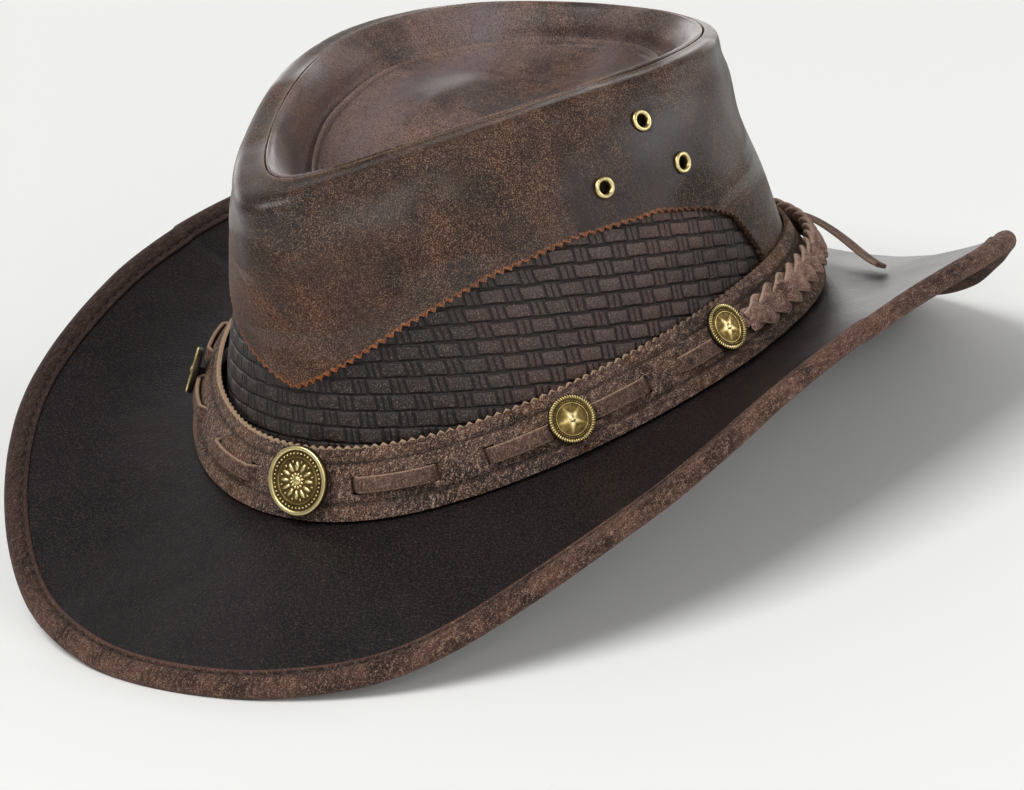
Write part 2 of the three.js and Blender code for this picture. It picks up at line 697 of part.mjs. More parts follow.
const FINISHES = {
  crownLeather: { color: 0x4a3127, roughness: 0.55, metalness: 0 },
  panelLeather: { color: 0x2a2120, roughness: 0.5, metalness: 0 },
  brimLeather: { color: 0x2b2223, roughness: 0.6, metalness: 0 },
  bindingLeather: { color: 0x5a4238, roughness: 0.75, metalness: 0 },
  bandLeather: { color: 0x4d3830, roughness: 0.8, metalness: 0 },
  laceSuede: { color: 0x7a5c4c, roughness: 0.9, metalness: 0 },
  oldBrass: { color: 0x8d7b4c, roughness: 0.4, metalness: 0.9 },
};

const hat = new THREE.Group();
hat.name = 'bush_hat';
hat.position.set(0, PLANE_SHIFT, 0);

function addPiece(name, geometry, finish) {
  geometry.computeVertexNormals();
  const mesh = new THREE.Mesh(geometry, new THREE.MeshStandardMaterial(finish));
  mesh.name = name;
  hat.add(mesh);
}

addPiece('crown_wall', cut(crownWallGeometry(), EYELETS.map(eyeletHole)), FINISHES.crownLeather);
addPiece('weave_panel', panelGeometry(), FINISHES.panelLeather);
addPiece('crown_top', topGeometry(), FINISHES.crownLeather);
addPiece('brim', brimGeometry(), FINISHES.brimLeather);
addPiece('brim_binding', bindingGeometry(), FINISHES.bindingLeather);
addPiece('hatband', bandGeometry(), FINISHES.bandLeather);
addPiece('lace', laceGeometry(), FINISHES.laceSuede);
addPiece('braid', braidGeometry(), FINISHES.laceSuede);
for (const stud of STUDS) addPiece(stud.name, studGeometry(stud), FINISHES.oldBrass);
for (const eyelet of EYELETS) addPiece(eyelet.name, eyeletGeometry(eyelet), FINISHES.oldBrass);
addPiece('lace_tail', tailGeometry(), FINISHES.laceSuede);

export default hat;
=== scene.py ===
"""Looks of the leather bush hat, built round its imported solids. Sizes are millimetres until a mesh is made."""

import logging
import math
from dataclasses import dataclass
from enum import Enum
from typing import Callable, Sequence, Union

import bmesh
import bpy
import numpy as np
from mathutils import Matrix, Vector


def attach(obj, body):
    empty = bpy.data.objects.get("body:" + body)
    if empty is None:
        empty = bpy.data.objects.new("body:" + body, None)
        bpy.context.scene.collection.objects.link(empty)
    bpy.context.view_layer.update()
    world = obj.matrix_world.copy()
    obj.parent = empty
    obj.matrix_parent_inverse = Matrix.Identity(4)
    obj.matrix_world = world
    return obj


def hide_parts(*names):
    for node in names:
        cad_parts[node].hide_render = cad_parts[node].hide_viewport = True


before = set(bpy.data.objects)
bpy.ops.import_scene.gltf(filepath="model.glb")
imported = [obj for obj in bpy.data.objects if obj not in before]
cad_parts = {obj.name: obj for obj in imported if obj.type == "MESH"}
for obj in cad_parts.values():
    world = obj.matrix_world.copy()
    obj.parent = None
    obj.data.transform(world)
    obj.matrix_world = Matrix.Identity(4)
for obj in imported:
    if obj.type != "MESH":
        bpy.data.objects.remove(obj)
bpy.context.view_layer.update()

log = logging.getLogger("bush_hat")
MM = 0.001
STEP = 0.01  # step of a numerical slope, in radians or in places
FINE_STEPS = 4001  # samples along a line that is measured
FAR = 50.0  # margin in millimetres of a face that has no cut edge nearby
EDGE_SHARE = 0.1  # outer share of the brim whose slope counts as its edge's own
FLAT_MAP = "surface"  # UV map whose coordinates are metres along and across the leather

Array = np.ndarray
Shape = Callable[[Array, Array], tuple[Array, Array]]
Marks = Callable[[Array, Array], dict[str, Array]]
Line = Callable[[Array], tuple[Array, Array]]


# Forms of the hat

@dataclass(frozen=True)
class Section:
    """One level ring of the crown, in shares of the mouth and of the crown's height."""

    length: float
    width: float
    shift: float
    front: float
    side: float
    back: float
    taper: float


WALL_SECTIONS: tuple[Section, ...] = (
    Section(1, 1, -0.024, 0, 0, 0, 0),
    Section(0.967, 0.942, -0.038, 0.197, 0.197, 0.197, 0),
    Section(0.906, 0.9, -0.091, 0.44, 0.42, 0.405, 0.165),
    Section(0.87, 0.833, -0.159, 0.684, 0.645, 0.62, 0.33),
    Section(0.889, 0.762, -0.173, 0.84, 0.79, 0.775, 0.43),
    Section(0.885, 0.703, -0.174, 0.95, 0.872, 0.86, 0.5),
    Section(0.813, 0.633, -0.11, 0.995, 0.885, 0.88, 0.5),
)
TOP_SECTIONS: tuple[Section, ...] = (
    Section(0.785, 0.604, -0.108, 0.993, 0.884, 0.878, 0.48),
    Section(0.717, 0.565, -0.071, 0.9, 0.82, 0.825, 0.32),
    Section(0.65, 0.545, -0.024, 0.775, 0.752, 0.775, 0.14),
    Section(0.612, 0.515, -0.019, 0.775, 0.76, 0.785, 0.1),
    Section(0.579, 0.48, -0.019, 0.758, 0.745, 0.768, 0.08),
    Section(0.287, 0.24, -0.019, 0.735, 0.735, 0.748, 0.04),
)
EDGE_CURVE = ((0, 0.24), (16, 0.335), (33, 0.43), (53, 0.495), (72, 0.51), (90, 0.47), (101, 0.38), (108, 0.28),
              (113, 0.05), (116, -0.33), (180, -0.33))
BRIM_REACH = ((0, 1), (12, 0.965), (25, 0.84), (50, 0.43), (75, 0.03), (100, 0.04), (125, 0.78), (140, 0.9),
              (150, 0.95), (160, 0.98), (170, 1), (180, 1))
BRIM_RISE = ((0, 0), (12, 0.02), (25, 0.14), (50, 0.66), (75, 0.98), (100, 1.05), (125, 0.93), (140, 0.56),
             (150, 0.28), (160, 0.09), (170, 0.01), (180, 0))


@dataclass(frozen=True)
class Sheet:
    """A surface of angle and place, with the side that its outer face is on."""

    point: Callable[[Array, Array], Array]
    low: float
    high: float
    side: int = 1

    def normal(self, angle: Array, place: Array) -> Array:
        """Outward unit normals.

        Args:
            angle: angles round the hat in radians.
            place: places across the sheet.

        Returns:
            An array of unit vectors.
        """
        above = self.point(angle, np.minimum(place + STEP, self.high))
        rise = above - self.point(angle, np.maximum(place - STEP, self.low))
        along = self.point(angle + STEP, place) - self.point(angle - STEP, place)
        normal = np.cross(along, rise) * self.side
        return normal / np.linalg.norm(normal, axis=-1, keepdims=True)

    def lifted(self, angle: Array, place: Array, height: Array | float) -> Array:
        """Points at a height above the outer face.

        Args:
            angle: angles round the hat in radians.
            place: places across the sheet.
            height: heights in millimetres.

        Returns:
            An array of points in millimetres.
        """
        lift = np.asarray(height, float)
        lift = lift[..., None] if lift.ndim else lift
        return self.point(angle, place) + self.normal(angle, place) * lift


@dataclass(frozen=True)
class HatForm:
    """The sizes and surfaces that every piece of the hat follows."""

    mouth_half_length: float = 104.5
    mouth_half_width: float = 81.5
    mouth_front: float = 28
    mouth_side: float = 42.5
    mouth_back: float = 34.5
    crown_height: float = 99.5
    crown_leather: float = 1.8
    panel_leather: float = 1.5
    brim_leather: float = 3.0
    band_leather: float = 1.8
    binding_leather: float = 1.4
    binding_clearance: float = 0.45
    panel_clearance: float = 0.8
    reach_front: float = 179
    reach_side: float = 133
    reach_back: float = 156
    edge_rise: float = 55
    flattening_front: float = 1
    flattening_back: float = 1.7
    bends: tuple[float, float, float] = (1.35, 2.1, 1.7)
    band_foot_standoff: float = 7.4
    band_top_standoff: float = 3.8
    band_foot_lift: float = 0.9
    band_height: float = 20
    foot_lift: float = 0.5
    seam_gap: float = 0.6

    @property
    def shift(self) -> float:
        """How far the hat sits along Y so that its box is centred."""
        return (self.reach_front - self.reach_back) / 2

    @property
    def inset(self) -> float:
        """How far the brim reaches in under the crown wall."""
        return self.crown_leather + self.panel_clearance + self.panel_leather

    def around(self, front: float, side: float, back: float, angle: Array) -> Array:
        """Values round the hat from its front, side and back values.

        Args:
            front: value at the front.
            side: value at both sides.
            back: value at the back.
            angle: angles round the hat in radians.

        Returns:
            One value for each angle.
        """
        ends = (front + back) / 2
        mean = (ends + side) / 2
        return mean + (front - back) / 2 * np.cos(angle) + (ends - side) / 2 * np.cos(2 * angle)

    def mouth_height(self, angle: Array) -> Array:
        """Height of the crown's foot round the hat."""
        return self.around(self.mouth_front, self.mouth_side, self.mouth_back, angle)

    @staticmethod
    def look_up(rows: Sequence[tuple[float, float]], angle: Array, smooth: bool) -> Array:
        """Values of a table at angles.

        Args:
            rows: pairs of degrees from the front and a value.
            angle: angles round the hat in radians.
            smooth: whether a smooth line runs through the rows.

        Returns:
            The values.
        """
        degrees = np.abs(np.degrees(angle)) % 360
        turned = np.where(degrees > 180, 360 - degrees, degrees)
        at = np.array([row[0] for row in rows], float)
        value = np.array([row[1] for row in rows], float)
        if not smooth:
            return np.interp(turned, at, value)
        slope = np.zeros(len(at))
        slope[1:-1] = (value[2:] - value[:-2]) / (at[2:] - at[:-2])
        high = np.clip(np.searchsorted(at, turned - 1e-9), 1, len(at) - 1)
        low = high - 1
        span = at[high] - at[low]
        t = (turned - at[low]) / span
        return ((2 * t**3 - 3 * t**2 + 1) * value[low] + (t**3 - 2 * t**2 + t) * span * slope[low]
                + (3 * t**2 - 2 * t**3) * value[high] + (t**3 - t**2) * span * slope[high])

    def section_point(self, section: Section, angle: Array, grow: float = 0) -> Array:
        """Points of a section at angles.

        Args:
            section: the section.
            angle: angles round the hat in radians.
            grow: how far outwards the section is grown in millimetres.

        Returns:
            An array of points in millimetres.
        """
        sine, cosine = np.sin(angle), np.cos(angle)
        width = self.mouth_half_width * section.width + grow
        length = self.mouth_half_length * section.length + grow
        rise = self.around(section.front, section.side, section.back, angle)
        return np.stack([width * sine * (1 - section.taper * cosine),
                         self.mouth_half_length * section.shift - length * cosine,
                         self.mouth_height(angle) + self.crown_height * rise], -1)

    @staticmethod
    def smooth_line(points: Sequence[Array], place: Array) -> Array:
        """Points on a centripetal curve through the same point of each section.

        Args:
            points: one array of points for each section.
            place: place along the curve, counted in sections.

        Returns:
            An array of points.
        """
        stack = np.stack(points)
        last = len(points) - 1
        index = np.clip(np.floor(place).astype(int), 0, last - 1)
        t = (place - index)[..., None]
        rows = np.arange(stack.shape[1])
        p1, p2 = stack[index, rows], stack[index + 1, rows]
        p0 = np.where((index > 0)[:, None], stack[np.maximum(index - 1, 0), rows], 2 * p1 - p2)
        p3 = np.where((index + 2 <= last)[:, None], stack[np.minimum(index + 2, last), rows], 2 * p2 - p1)

        def knot(a: Array, b: Array) -> Array:
            """Root of the distance between points."""
            return np.sqrt(np.linalg.norm(a - b, axis=-1))[:, None]

        d0, d1, d2 = knot(p0, p1), knot(p1, p2), knot(p2, p3)
        t1 = ((p1 - p0) / d0 - (p2 - p0) / (d0 + d1) + (p2 - p1) / d1) * d1
        t2 = ((p2 - p1) / d1 - (p3 - p1) / (d1 + d2) + (p3 - p2) / d2) * d1
        return p1 + t1 * t + (-3 * p1 + 3 * p2 - 2 * t1 - t2) * t**2 + (2 * p1 - 2 * p2 + t1 + t2) * t**3

    def wall_point(self, angle: Array, place: Array) -> Array:
        """Points of the crown wall's outer face."""
        return self.smooth_line([self.section_point(section, angle) for section in WALL_SECTIONS], place)

    def top_point(self, angle: Array, place: Array) -> Array:
        """Points of the inset top's upper face, from its rim inwards."""
        rim = self.section_point(WALL_SECTIONS[-1], angle, -self.seam_gap)
        return self.smooth_line([rim] + [self.section_point(section, angle) for section in TOP_SECTIONS], place)

    def brim_edge(self, angle: Array) -> Array:
        """Points of the brim's edge.

        Args:
            angle: angles round the hat in radians.

        Returns:
            An array of points in millimetres.
        """
        reach = self.look_up(BRIM_REACH, angle, True)
        far = np.where(np.cos(angle) > 0, self.reach_front, self.reach_back)
        radius = self.reach_side + (far - self.reach_side) * reach
        share = (1 + np.cos(angle)) / 2
        flattening = self.flattening_back + (self.flattening_front - self.flattening_back) * share
        thickness = self.brim_leather + self.binding_clearance + self.binding_leather
        height = self.edge_rise * self.look_up(BRIM_RISE, angle, True) + thickness - flattening
        return np.stack([radius * np.sin(angle), -radius * np.cos(angle), height], -1)

    def brim_point(self, angle: Array, place: Array) -> Array:
        """Points of the brim's upper face.

        Args:
            angle: angles round the hat in radians.
            place: 0 under the crown and 1 at the edge.

        Returns:
            An array of points in millimetres.
        """
        start = self.section_point(WALL_SECTIONS[0], angle, -self.inset)
        edge = self.brim_edge(angle)
        share = np.asarray(place, float)
        bend = self.around(*self.bends, angle)
        flat = start + (edge - start) * share[..., None]
        flat[..., 2] = start[..., 2] + (edge[..., 2] - start[..., 2]) * np.maximum(share, 0) ** bend
        return flat

    def band_point(self, angle: Array, place: Array) -> Array:
        """Points of the hatband's outer face.

        Args:
            angle: angles round the hat in radians.
            place: 0 at the band's foot and 1 at its upper edge.

        Returns:
            An array of points in millimetres.
        """
        start, edge = self.brim_point(angle, np.zeros_like(angle)), self.brim_edge(angle)
        run = np.hypot(edge[..., 0] - start[..., 0], edge[..., 1] - start[..., 1])
        foot = self.brim_point(angle, (self.band_foot_standoff + self.inset) / run)
        foot[..., 2] += self.band_foot_lift
        top = self.section_point(WALL_SECTIONS[1], angle, self.band_top_standoff)
        top[..., 2] = self.mouth_height(angle) + self.band_height
        return foot + (top - foot) * np.asarray(place, float)[..., None]

    @property
    def wall(self) -> Sheet:
        """The crown wall's outer face."""
        return Sheet(self.wall_point, 0, len(WALL_SECTIONS) - 1)

    @property
    def top(self) -> Sheet:
        """The inset top's upper face."""
        return Sheet(self.top_point, 0, len(TOP_SECTIONS))

    @property
    def brim(self) -> Sheet:
        """The brim's upper face."""
        return Sheet(self.brim_point, 0, 1, -1)

    @property
    def band(self) -> Sheet:
        """The hatband's outer face."""
        return Sheet(self.band_point, -0.2, 1.2)

    @staticmethod
    def place_of(level: Array) -> Array:
        """Place on the wall of a level, where 0 is the band's top and 1 the shoulder."""
        return np.interp(level, [-1 / 3, 0, 1 / 3, 2 / 3, 1], [0, 1, 2, 3, 5])

    def lower_edge(self, angle: Array) -> Array:
        """Place of the crown leather's lower edge."""
        foot = self.foot_lift / (self.crown_height * WALL_SECTIONS[1].side)
        return np.maximum(self.place_of(self.look_up(EDGE_CURVE, angle, False)), foot)


FORM = HatForm()


# Helpers that make meshes

def ripple(points: Array, size: float, depth: float, seed: int) -> Array:
    """Gentle unevenness of hand-worked leather.

    Args:
        points: points in millimetres.
        size: typical distance between swellings.
        depth: typical height of a swelling.
        seed: picks the pattern.

    Returns:
        One height for each point.
    """
    waves = 7
    chance = np.random.default_rng(seed)
    height = np.zeros(len(points))
    for _ in range(waves):
        way = chance.normal(size=3)
        way *= 2 * math.pi / (size * chance.uniform(0.7, 1.6) * np.linalg.norm(way))
        height += np.sin(points @ way + chance.uniform(0, 2 * math.pi))
    return height * depth / math.sqrt(waves)


def metres(points: Array) -> Array:
    """Points of the hat's own frame in the row's frame, in metres."""
    return (points + np.array([0, FORM.shift, 0])) * MM


def zigzag(distance: Array, pitch: float) -> Array:
    """Teeth of a pinked edge, 0 at their roots and 1 at their tips."""
    share = (distance / pitch) % 1
    return 1 - np.abs(2 * share - 1)


def bell(value: Array, centre: float, width: float) -> Array:
    """A smooth hump of height 1."""
    return np.exp(-((value - centre) / width) ** 2)


def ramp(value: Array, low: float, high: float) -> Array:
    """A smooth step from 0 to 1."""
    t = np.clip((value - low) / (high - low), 0, 1)
    return t * t * (3 - 2 * t)


def run_along(points: Array) -> Array:
    """Distance along a line of points, from its start to each point."""
    return np.concatenate([[0], np.cumsum(np.linalg.norm(np.diff(points, axis=0), axis=1))])


def length_of(points: Array) -> float:
    """Length of a line of points."""
    return np.linalg.norm(np.diff(points, axis=0), axis=1).sum()


def place_grid(name: str, columns: int, rows: int, shape: Shape, attributes: Marks | None = None) -> bpy.types.Object:
    """Lays a grid on a surface.

    Args:
        name: name of the new piece.
        columns: faces along the grid.
        rows: faces across it.
        shape: gives points in millimetres and UV coordinates in metres for shares along and across.
        attributes: gives named values for each vertex.

    Returns:
        The piece, with its UV map and with vertices joined where they meet.
    """
    grid = bmesh.new()
    grid.loops.layers.uv.new(FLAT_MAP)
    bmesh.ops.create_grid(grid, x_segments=columns, y_segments=rows, size=1, calc_uvs=True)
    mesh = bpy.data.meshes.new(name)
    grid.to_mesh(mesh)
    grid.free()
    co = np.empty(len(mesh.vertices) * 3, np.float32)
    mesh.vertices.foreach_get("co", co)
    shares = (co.reshape(-1, 3)[:, :2].astype(float) + 1) / 2
    points, flat = shape(shares[:, 0], shares[:, 1])
    mesh.vertices.foreach_set("co", metres(points).astype(np.float32).ravel())
    corners = np.empty(len(mesh.loops), np.int32)
    mesh.loops.foreach_get("vertex_index", corners)
    mesh.uv_layers[FLAT_MAP].data.foreach_set("uv", flat[corners].astype(np.float32).ravel())
    if attributes:
        for key, values in attributes(shares[:, 0], shares[:, 1]).items():
            mesh.attributes.new(key, "FLOAT", "POINT").data.foreach_set("value", values.astype(np.float32))
    body = bmesh.new()
    body.from_mesh(mesh)
    bmesh.ops.remove_doubles(body, verts=body.verts, dist=1e-6)
    body.to_mesh(mesh)
    body.free()
    piece = bpy.data.objects.new(name, mesh)
    bpy.context.scene.collection.objects.link(piece)
    return piece


def turn_outwards(piece: bpy.types.Object) -> None:
    """Turns the faces of a closed piece outwards.

    Args:
        piece: the piece.
    """
    body = bmesh.new()
    body.from_mesh(piece.data)
    bmesh.ops.recalc_face_normals(body, faces=body.faces)
    body.to_mesh(piece.data)
    body.free()


def give_wall(piece: bpy.types.Object, thickness: float, edge_slot: int = 1, round_off: float = 0.3) -> None:
    """Gives a surface its leather thickness, inwards, and rounds its cut edges.

    Args:
        piece: the surface, outer face up.
        thickness: leather thickness in millimetres.
        edge_slot: material slots between the outer face and the cut edge.
        round_off: rounding of the cut edges in millimetres.
    """
    corner_angle = 60
    shell = piece.modifiers.new("wall", "SOLIDIFY")
    shell.thickness = thickness * MM
    shell.offset = -1
    shell.use_even_offset = True
    shell.material_offset_rim = edge_slot
    soft = piece.modifiers.new("edges", "BEVEL")
    soft.width = round_off * MM
    soft.segments = 2
    soft.limit_method = "ANGLE"
    soft.angle_limit = math.radians(corner_angle)


def shade_smooth(mesh: bpy.types.Mesh, sharp: float) -> None:
    """Shades a mesh smooth, apart from edges above an angle in degrees."""
    mesh.polygons.foreach_set("use_smooth", np.ones(len(mesh.polygons), bool))
    mesh.set_sharp_from_angle(angle=math.radians(sharp))


def settle(piece: bpy.types.Object, sharp: float = 50) -> None:
    """Applies a piece's modifiers and shades it smooth up to an angle.

    Args:
        piece: the piece.
        sharp: edges above this angle in degrees stay sharp.
    """
    graph = bpy.context.evaluated_depsgraph_get()
    mesh = bpy.data.meshes.new_from_object(piece.evaluated_get(graph), preserve_all_data_layers=True,
                                           depsgraph=graph)
    old = piece.data
    piece.modifiers.clear()
    piece.data = mesh
    mesh.name = piece.name
    bpy.data.meshes.remove(old)
    shade_smooth(mesh, sharp)


def piece_of(name: str, body: bmesh.types.BMesh, sharp: float = 40) -> bpy.types.Object:
    """Makes a piece from a finished bmesh whose places are already in metres.

    Args:
        name: name of the new piece.
        body: the bmesh, which is freed.
        sharp: edges above this angle in degrees stay sharp.

    Returns:
        The piece.
    """
    mesh = bpy.data.meshes.new(name)
    body.to_mesh(mesh)
    body.free()
    shade_smooth(mesh, sharp)
    piece = bpy.data.objects.new(name, mesh)
    bpy.context.scene.collection.objects.link(piece)
    return piece


def stand_on(sheet: Sheet, degrees: float, place: float, height: float) -> Matrix:
    """Matrix that stands a piece made in millimetres along +Z on a surface.

    Args:
        sheet: the surface.
        degrees: angle from the front.
        place: place across the surface.
        height: height of the piece's origin above the surface.

    Returns:
        The matrix, whose result is in metres.
    """
    angle, at = np.array([math.radians(degrees)]), np.array([float(place)])
    normal = Vector(sheet.normal(angle, at)[0])
    along = Vector((sheet.point(angle + STEP, at) - sheet.point(angle - STEP, at))[0]).normalized()
    along = (along - normal * along.dot(normal)).normalized()
    up = normal.cross(along)
    origin = Vector(metres(sheet.lifted(angle, at, height))[0])
    turn = Matrix((along, up, normal)).transposed()
    return Matrix.Translation(origin) @ turn.to_4x4() @ Matrix.Scale(MM, 4)


def add_round(body: bmesh.types.BMesh, profile: Sequence[tuple[float, float]], steps: int) -> None:
    """Spins a profile of radius and height round Z into a closed body.

    Args:
        body: the bmesh that gets it.
        profile: points from one end of the outline to the other.
        steps: faces round the body.
    """
    turned = bmesh.new()
    line = [turned.verts.new((radius, 0, height)) for radius, height in profile]
    edges = [turned.edges.new(pair) for pair in zip(line, line[1:])]
    bmesh.ops.spin(turned, geom=line + edges, cent=(0, 0, 0), axis=(0, 0, 1), angle=2 * math.pi, steps=steps,
                   use_merge=True)
    bmesh.ops.remove_doubles(turned, verts=turned.verts, dist=1e-5)
    bmesh.ops.recalc_face_normals(turned, faces=turned.faces)
    mesh = bpy.data.meshes.new("turned")
    turned.to_mesh(mesh)
    turned.free()
    body.from_mesh(mesh)
    bpy.data.meshes.remove(mesh)


def add_bead(body: bmesh.types.BMesh, place: Matrix, across: int = 6, down: int = 4) -> None:
    """Adds a small ball, stretched and placed by a matrix."""
    bmesh.ops.create_uvsphere(body, u_segments=across, v_segments=down, radius=1, matrix=place)


# Finishes

Colour = tuple[float, float, float]
Number = Union["Value", float]
Tone = Union["Value", float, Colour]


def shade(red: int, green: int, blue: int) -> Colour:
    """A colour as a screen shows it, in the renderer's linear values."""
    return tuple((part / 255 / 12.92) if part <= 10 else ((part / 255 + 0.055) / 1.055) ** 2.4
                 for part in (red, green, blue))


class Value:
    """A shader socket that takes part in Python expressions."""

    def __init__(self, graph: "Graph", socket: bpy.types.NodeSocket) -> None:
        """Keeps the socket and the graph that it belongs to."""
        self.graph = graph
        self.socket = socket

    def _maths(self, operation: str, *values: Number) -> "Value":
        """Adds one Math node.

        Args:
            operation: name of the operation.
            *values: its inputs in order.

        Returns:
            The node's result.
        """
        return self.graph.add("ShaderNodeMath", {"operation": operation}, dict(enumerate(values)))

    def __add__(self, other: Number) -> "Value":
        """Sum."""
        return self._maths("ADD", self, other)

    def __radd__(self, other: Number) -> "Value":
        """Sum with a number in front."""
        return self._maths("ADD", other, self)

    def __sub__(self, other: Number) -> "Value":
        """Difference."""
        return self._maths("SUBTRACT", self, other)

    def __rsub__(self, other: Number) -> "Value":
        """Difference from a number in front."""
        return self._maths("SUBTRACT", other, self)

    def __mul__(self, other: Number) -> "Value":
        """Product."""
        return self._maths("MULTIPLY", self, other)

    def __rmul__(self, other: Number) -> "Value":
        """Product with a number in front."""
        return self._maths("MULTIPLY", other, self)

    def __truediv__(self, other: Number) -> "Value":
        """Quotient."""
        return self._maths("DIVIDE", self, other)

    def floor(self) -> "Value":
        """Whole number below."""
        return self._maths("FLOOR", self)

    def fraction(self) -> "Value":
        """What is left above the whole number."""
        return self._maths("FRACT", self)

    def sine(self) -> "Value":
        """Sine of an angle in radians."""
        return self._maths("SINE", self)

    def size(self) -> "Value":
        """Absolute value."""
        return self._maths("ABSOLUTE", self)

    def most(self, other: Number) -> "Value":
        """The larger of two values."""
        return self._maths("MAXIMUM", self, other)

    def ramp(self, low: float, high: float, to_low: float = 0, to_high: float = 1) -> "Value":
        """A smooth step.

        Args:
            low: value where the step starts.
            high: value where it ends.
            to_low: result below the step.
            to_high: result above it.

        Returns:
            The stepped value.
        """
        settings = {"interpolation_type": "SMOOTHSTEP"}
        if low > high:
            low, high, to_low, to_high = high, low, to_high, to_low
        return self.graph.add("ShaderNodeMapRange", settings, {"Value": self, "From Min": low, "From Max": high,
                                                              "To Min": to_low, "To Max": to_high})


class Graph:
    """A material and the nodes that make its finish."""

    def __init__(self, name: str) -> None:
        """Starts an empty finish.

        Args:
            name: name of the material.
        """
        self.material = bpy.data.materials.new(f"{name}_finish")
        self.material.use_nodes = True
        self.tree = self.material.node_tree
        self.tree.nodes.clear()

    def add(self, kind: str, settings: dict | None = None, sockets: dict | None = None,
            result: int | str = 0) -> Value:
        """Adds any node.

        Args:
            kind: the node's type.
            settings: its properties, set first.
            sockets: values or links of its inputs, by name or number.
            result: the output that is used.

        Returns:
            The output.
        """
        node = self.tree.nodes.new(kind)
        for key, setting in (settings or {}).items():
            setattr(node, key, setting)
        for key, value in (sockets or {}).items():
            if isinstance(value, Value):
                self.tree.links.new(value.socket, node.inputs[key])
            elif isinstance(value, tuple) and len(value) == 3 and node.inputs[key].type == "RGBA":
                node.inputs[key].default_value = (*value, 1)
            else:
                node.inputs[key].default_value = value
        return Value(self, node.outputs[result])

    def place(self, scale: tuple[float, float, float] = (1, 1, 1),
              turn: tuple[float, float, float] = (0, 0, 0)) -> Value:
        """Object coordinates in metres, stretched or turned.

        Args:
            scale: factors along the three axes; a small one draws a pattern out.
            turn: turns about the three axes in radians.

        Returns:
            The coordinates.
        """
        place = self.add("ShaderNodeTexCoord", result="Object")
        if scale == (1, 1, 1) and turn == (0, 0, 0):
            return place
        return self.add("ShaderNodeMapping", None, {"Vector": place, "Scale": scale, "Rotation": turn})

    def along(self) -> tuple[Value, Value]:
        """Measures on the leather as it was cut, from the piece's own UV map.

        Returns:
            Millimetres along the leather and millimetres across it.
        """
        flat = self.add("ShaderNodeUVMap", {"uv_map": FLAT_MAP})
        return (self.add("ShaderNodeSeparateXYZ", None, {0: flat}, 0) * (1 / MM),
                self.add("ShaderNodeSeparateXYZ", None, {0: flat}, 1) * (1 / MM))

    def mark(self, name: str) -> Value:
        """A value kept on the piece's vertices."""
        return self.add("ShaderNodeAttribute", {"attribute_name": name}, result="Fac")

    def join(self, x: Number, y: Number, z: Number) -> Value:
        """Makes a place from three values."""
        return self.add("ShaderNodeCombineXYZ", None, {0: x, 1: y, 2: z})

    def noise(self, size: float, detail: float = 3, rough: float = 0.55, place: Value | None = None,
              twist: float = 0) -> Value:
        """Cloudy noise.

        Args:
            size: millimetres from one cloud to the next.
            detail: number of finer layers.
            rough: strength of the finer layers.
            place: coordinates in metres.
            twist: how far the clouds are drawn out of shape.

        Returns:
            A value round one half.
        """
        return self.add("ShaderNodeTexNoise", None, {"Vector": place or self.place(), "Scale": 1 / MM / size,
                                                     "Detail": detail, "Roughness": rough, "Distortion": twist})

    def cells(self, size: float) -> Value:
        """Distance in cells to the nearest of points scattered some millimetres apart."""
        return self.add("ShaderNodeTexVoronoi", {"feature": "F1"}, {"Vector": self.place(), "Scale": 1 / MM / size},
                        "Distance")

    def blend(self, share: Number, first: Tone, second: Tone) -> Value:
        """Mixes two colours by the share of the second."""
        return self.add("ShaderNodeMix", {"data_type": "RGBA"}, {0: share, 6: first, 7: second}, 2)

    def relief(self, height: Number, depth: float, before: Value | None = None) -> Value:
        """Bump from a height of 0 to 1.

        Args:
            height: the height.
            depth: its real depth in millimetres.
            before: a normal that it adds to.

        Returns:
            The normal.
        """
        sockets = {"Height": height, "Distance": depth * MM, "Strength": 1.0}
        if before:
            sockets["Normal"] = before
        return self.add("ShaderNodeBump", None, sockets)

    def finish(self, **sockets: Tone) -> bpy.types.Material:
        """Joins the finish to the output.

        Args:
            **sockets: inputs of the surface, with an underscore for each space.

        Returns:
            The material.
        """
        named = {key.replace("_", " "): value for key, value in sockets.items()}
        surface = self.add("ShaderNodeBsdfPrincipled", None, named)
        output = self.tree.nodes.new("ShaderNodeOutputMaterial")
        self.tree.links.new(surface.socket, output.inputs["Surface"])
        return self.material


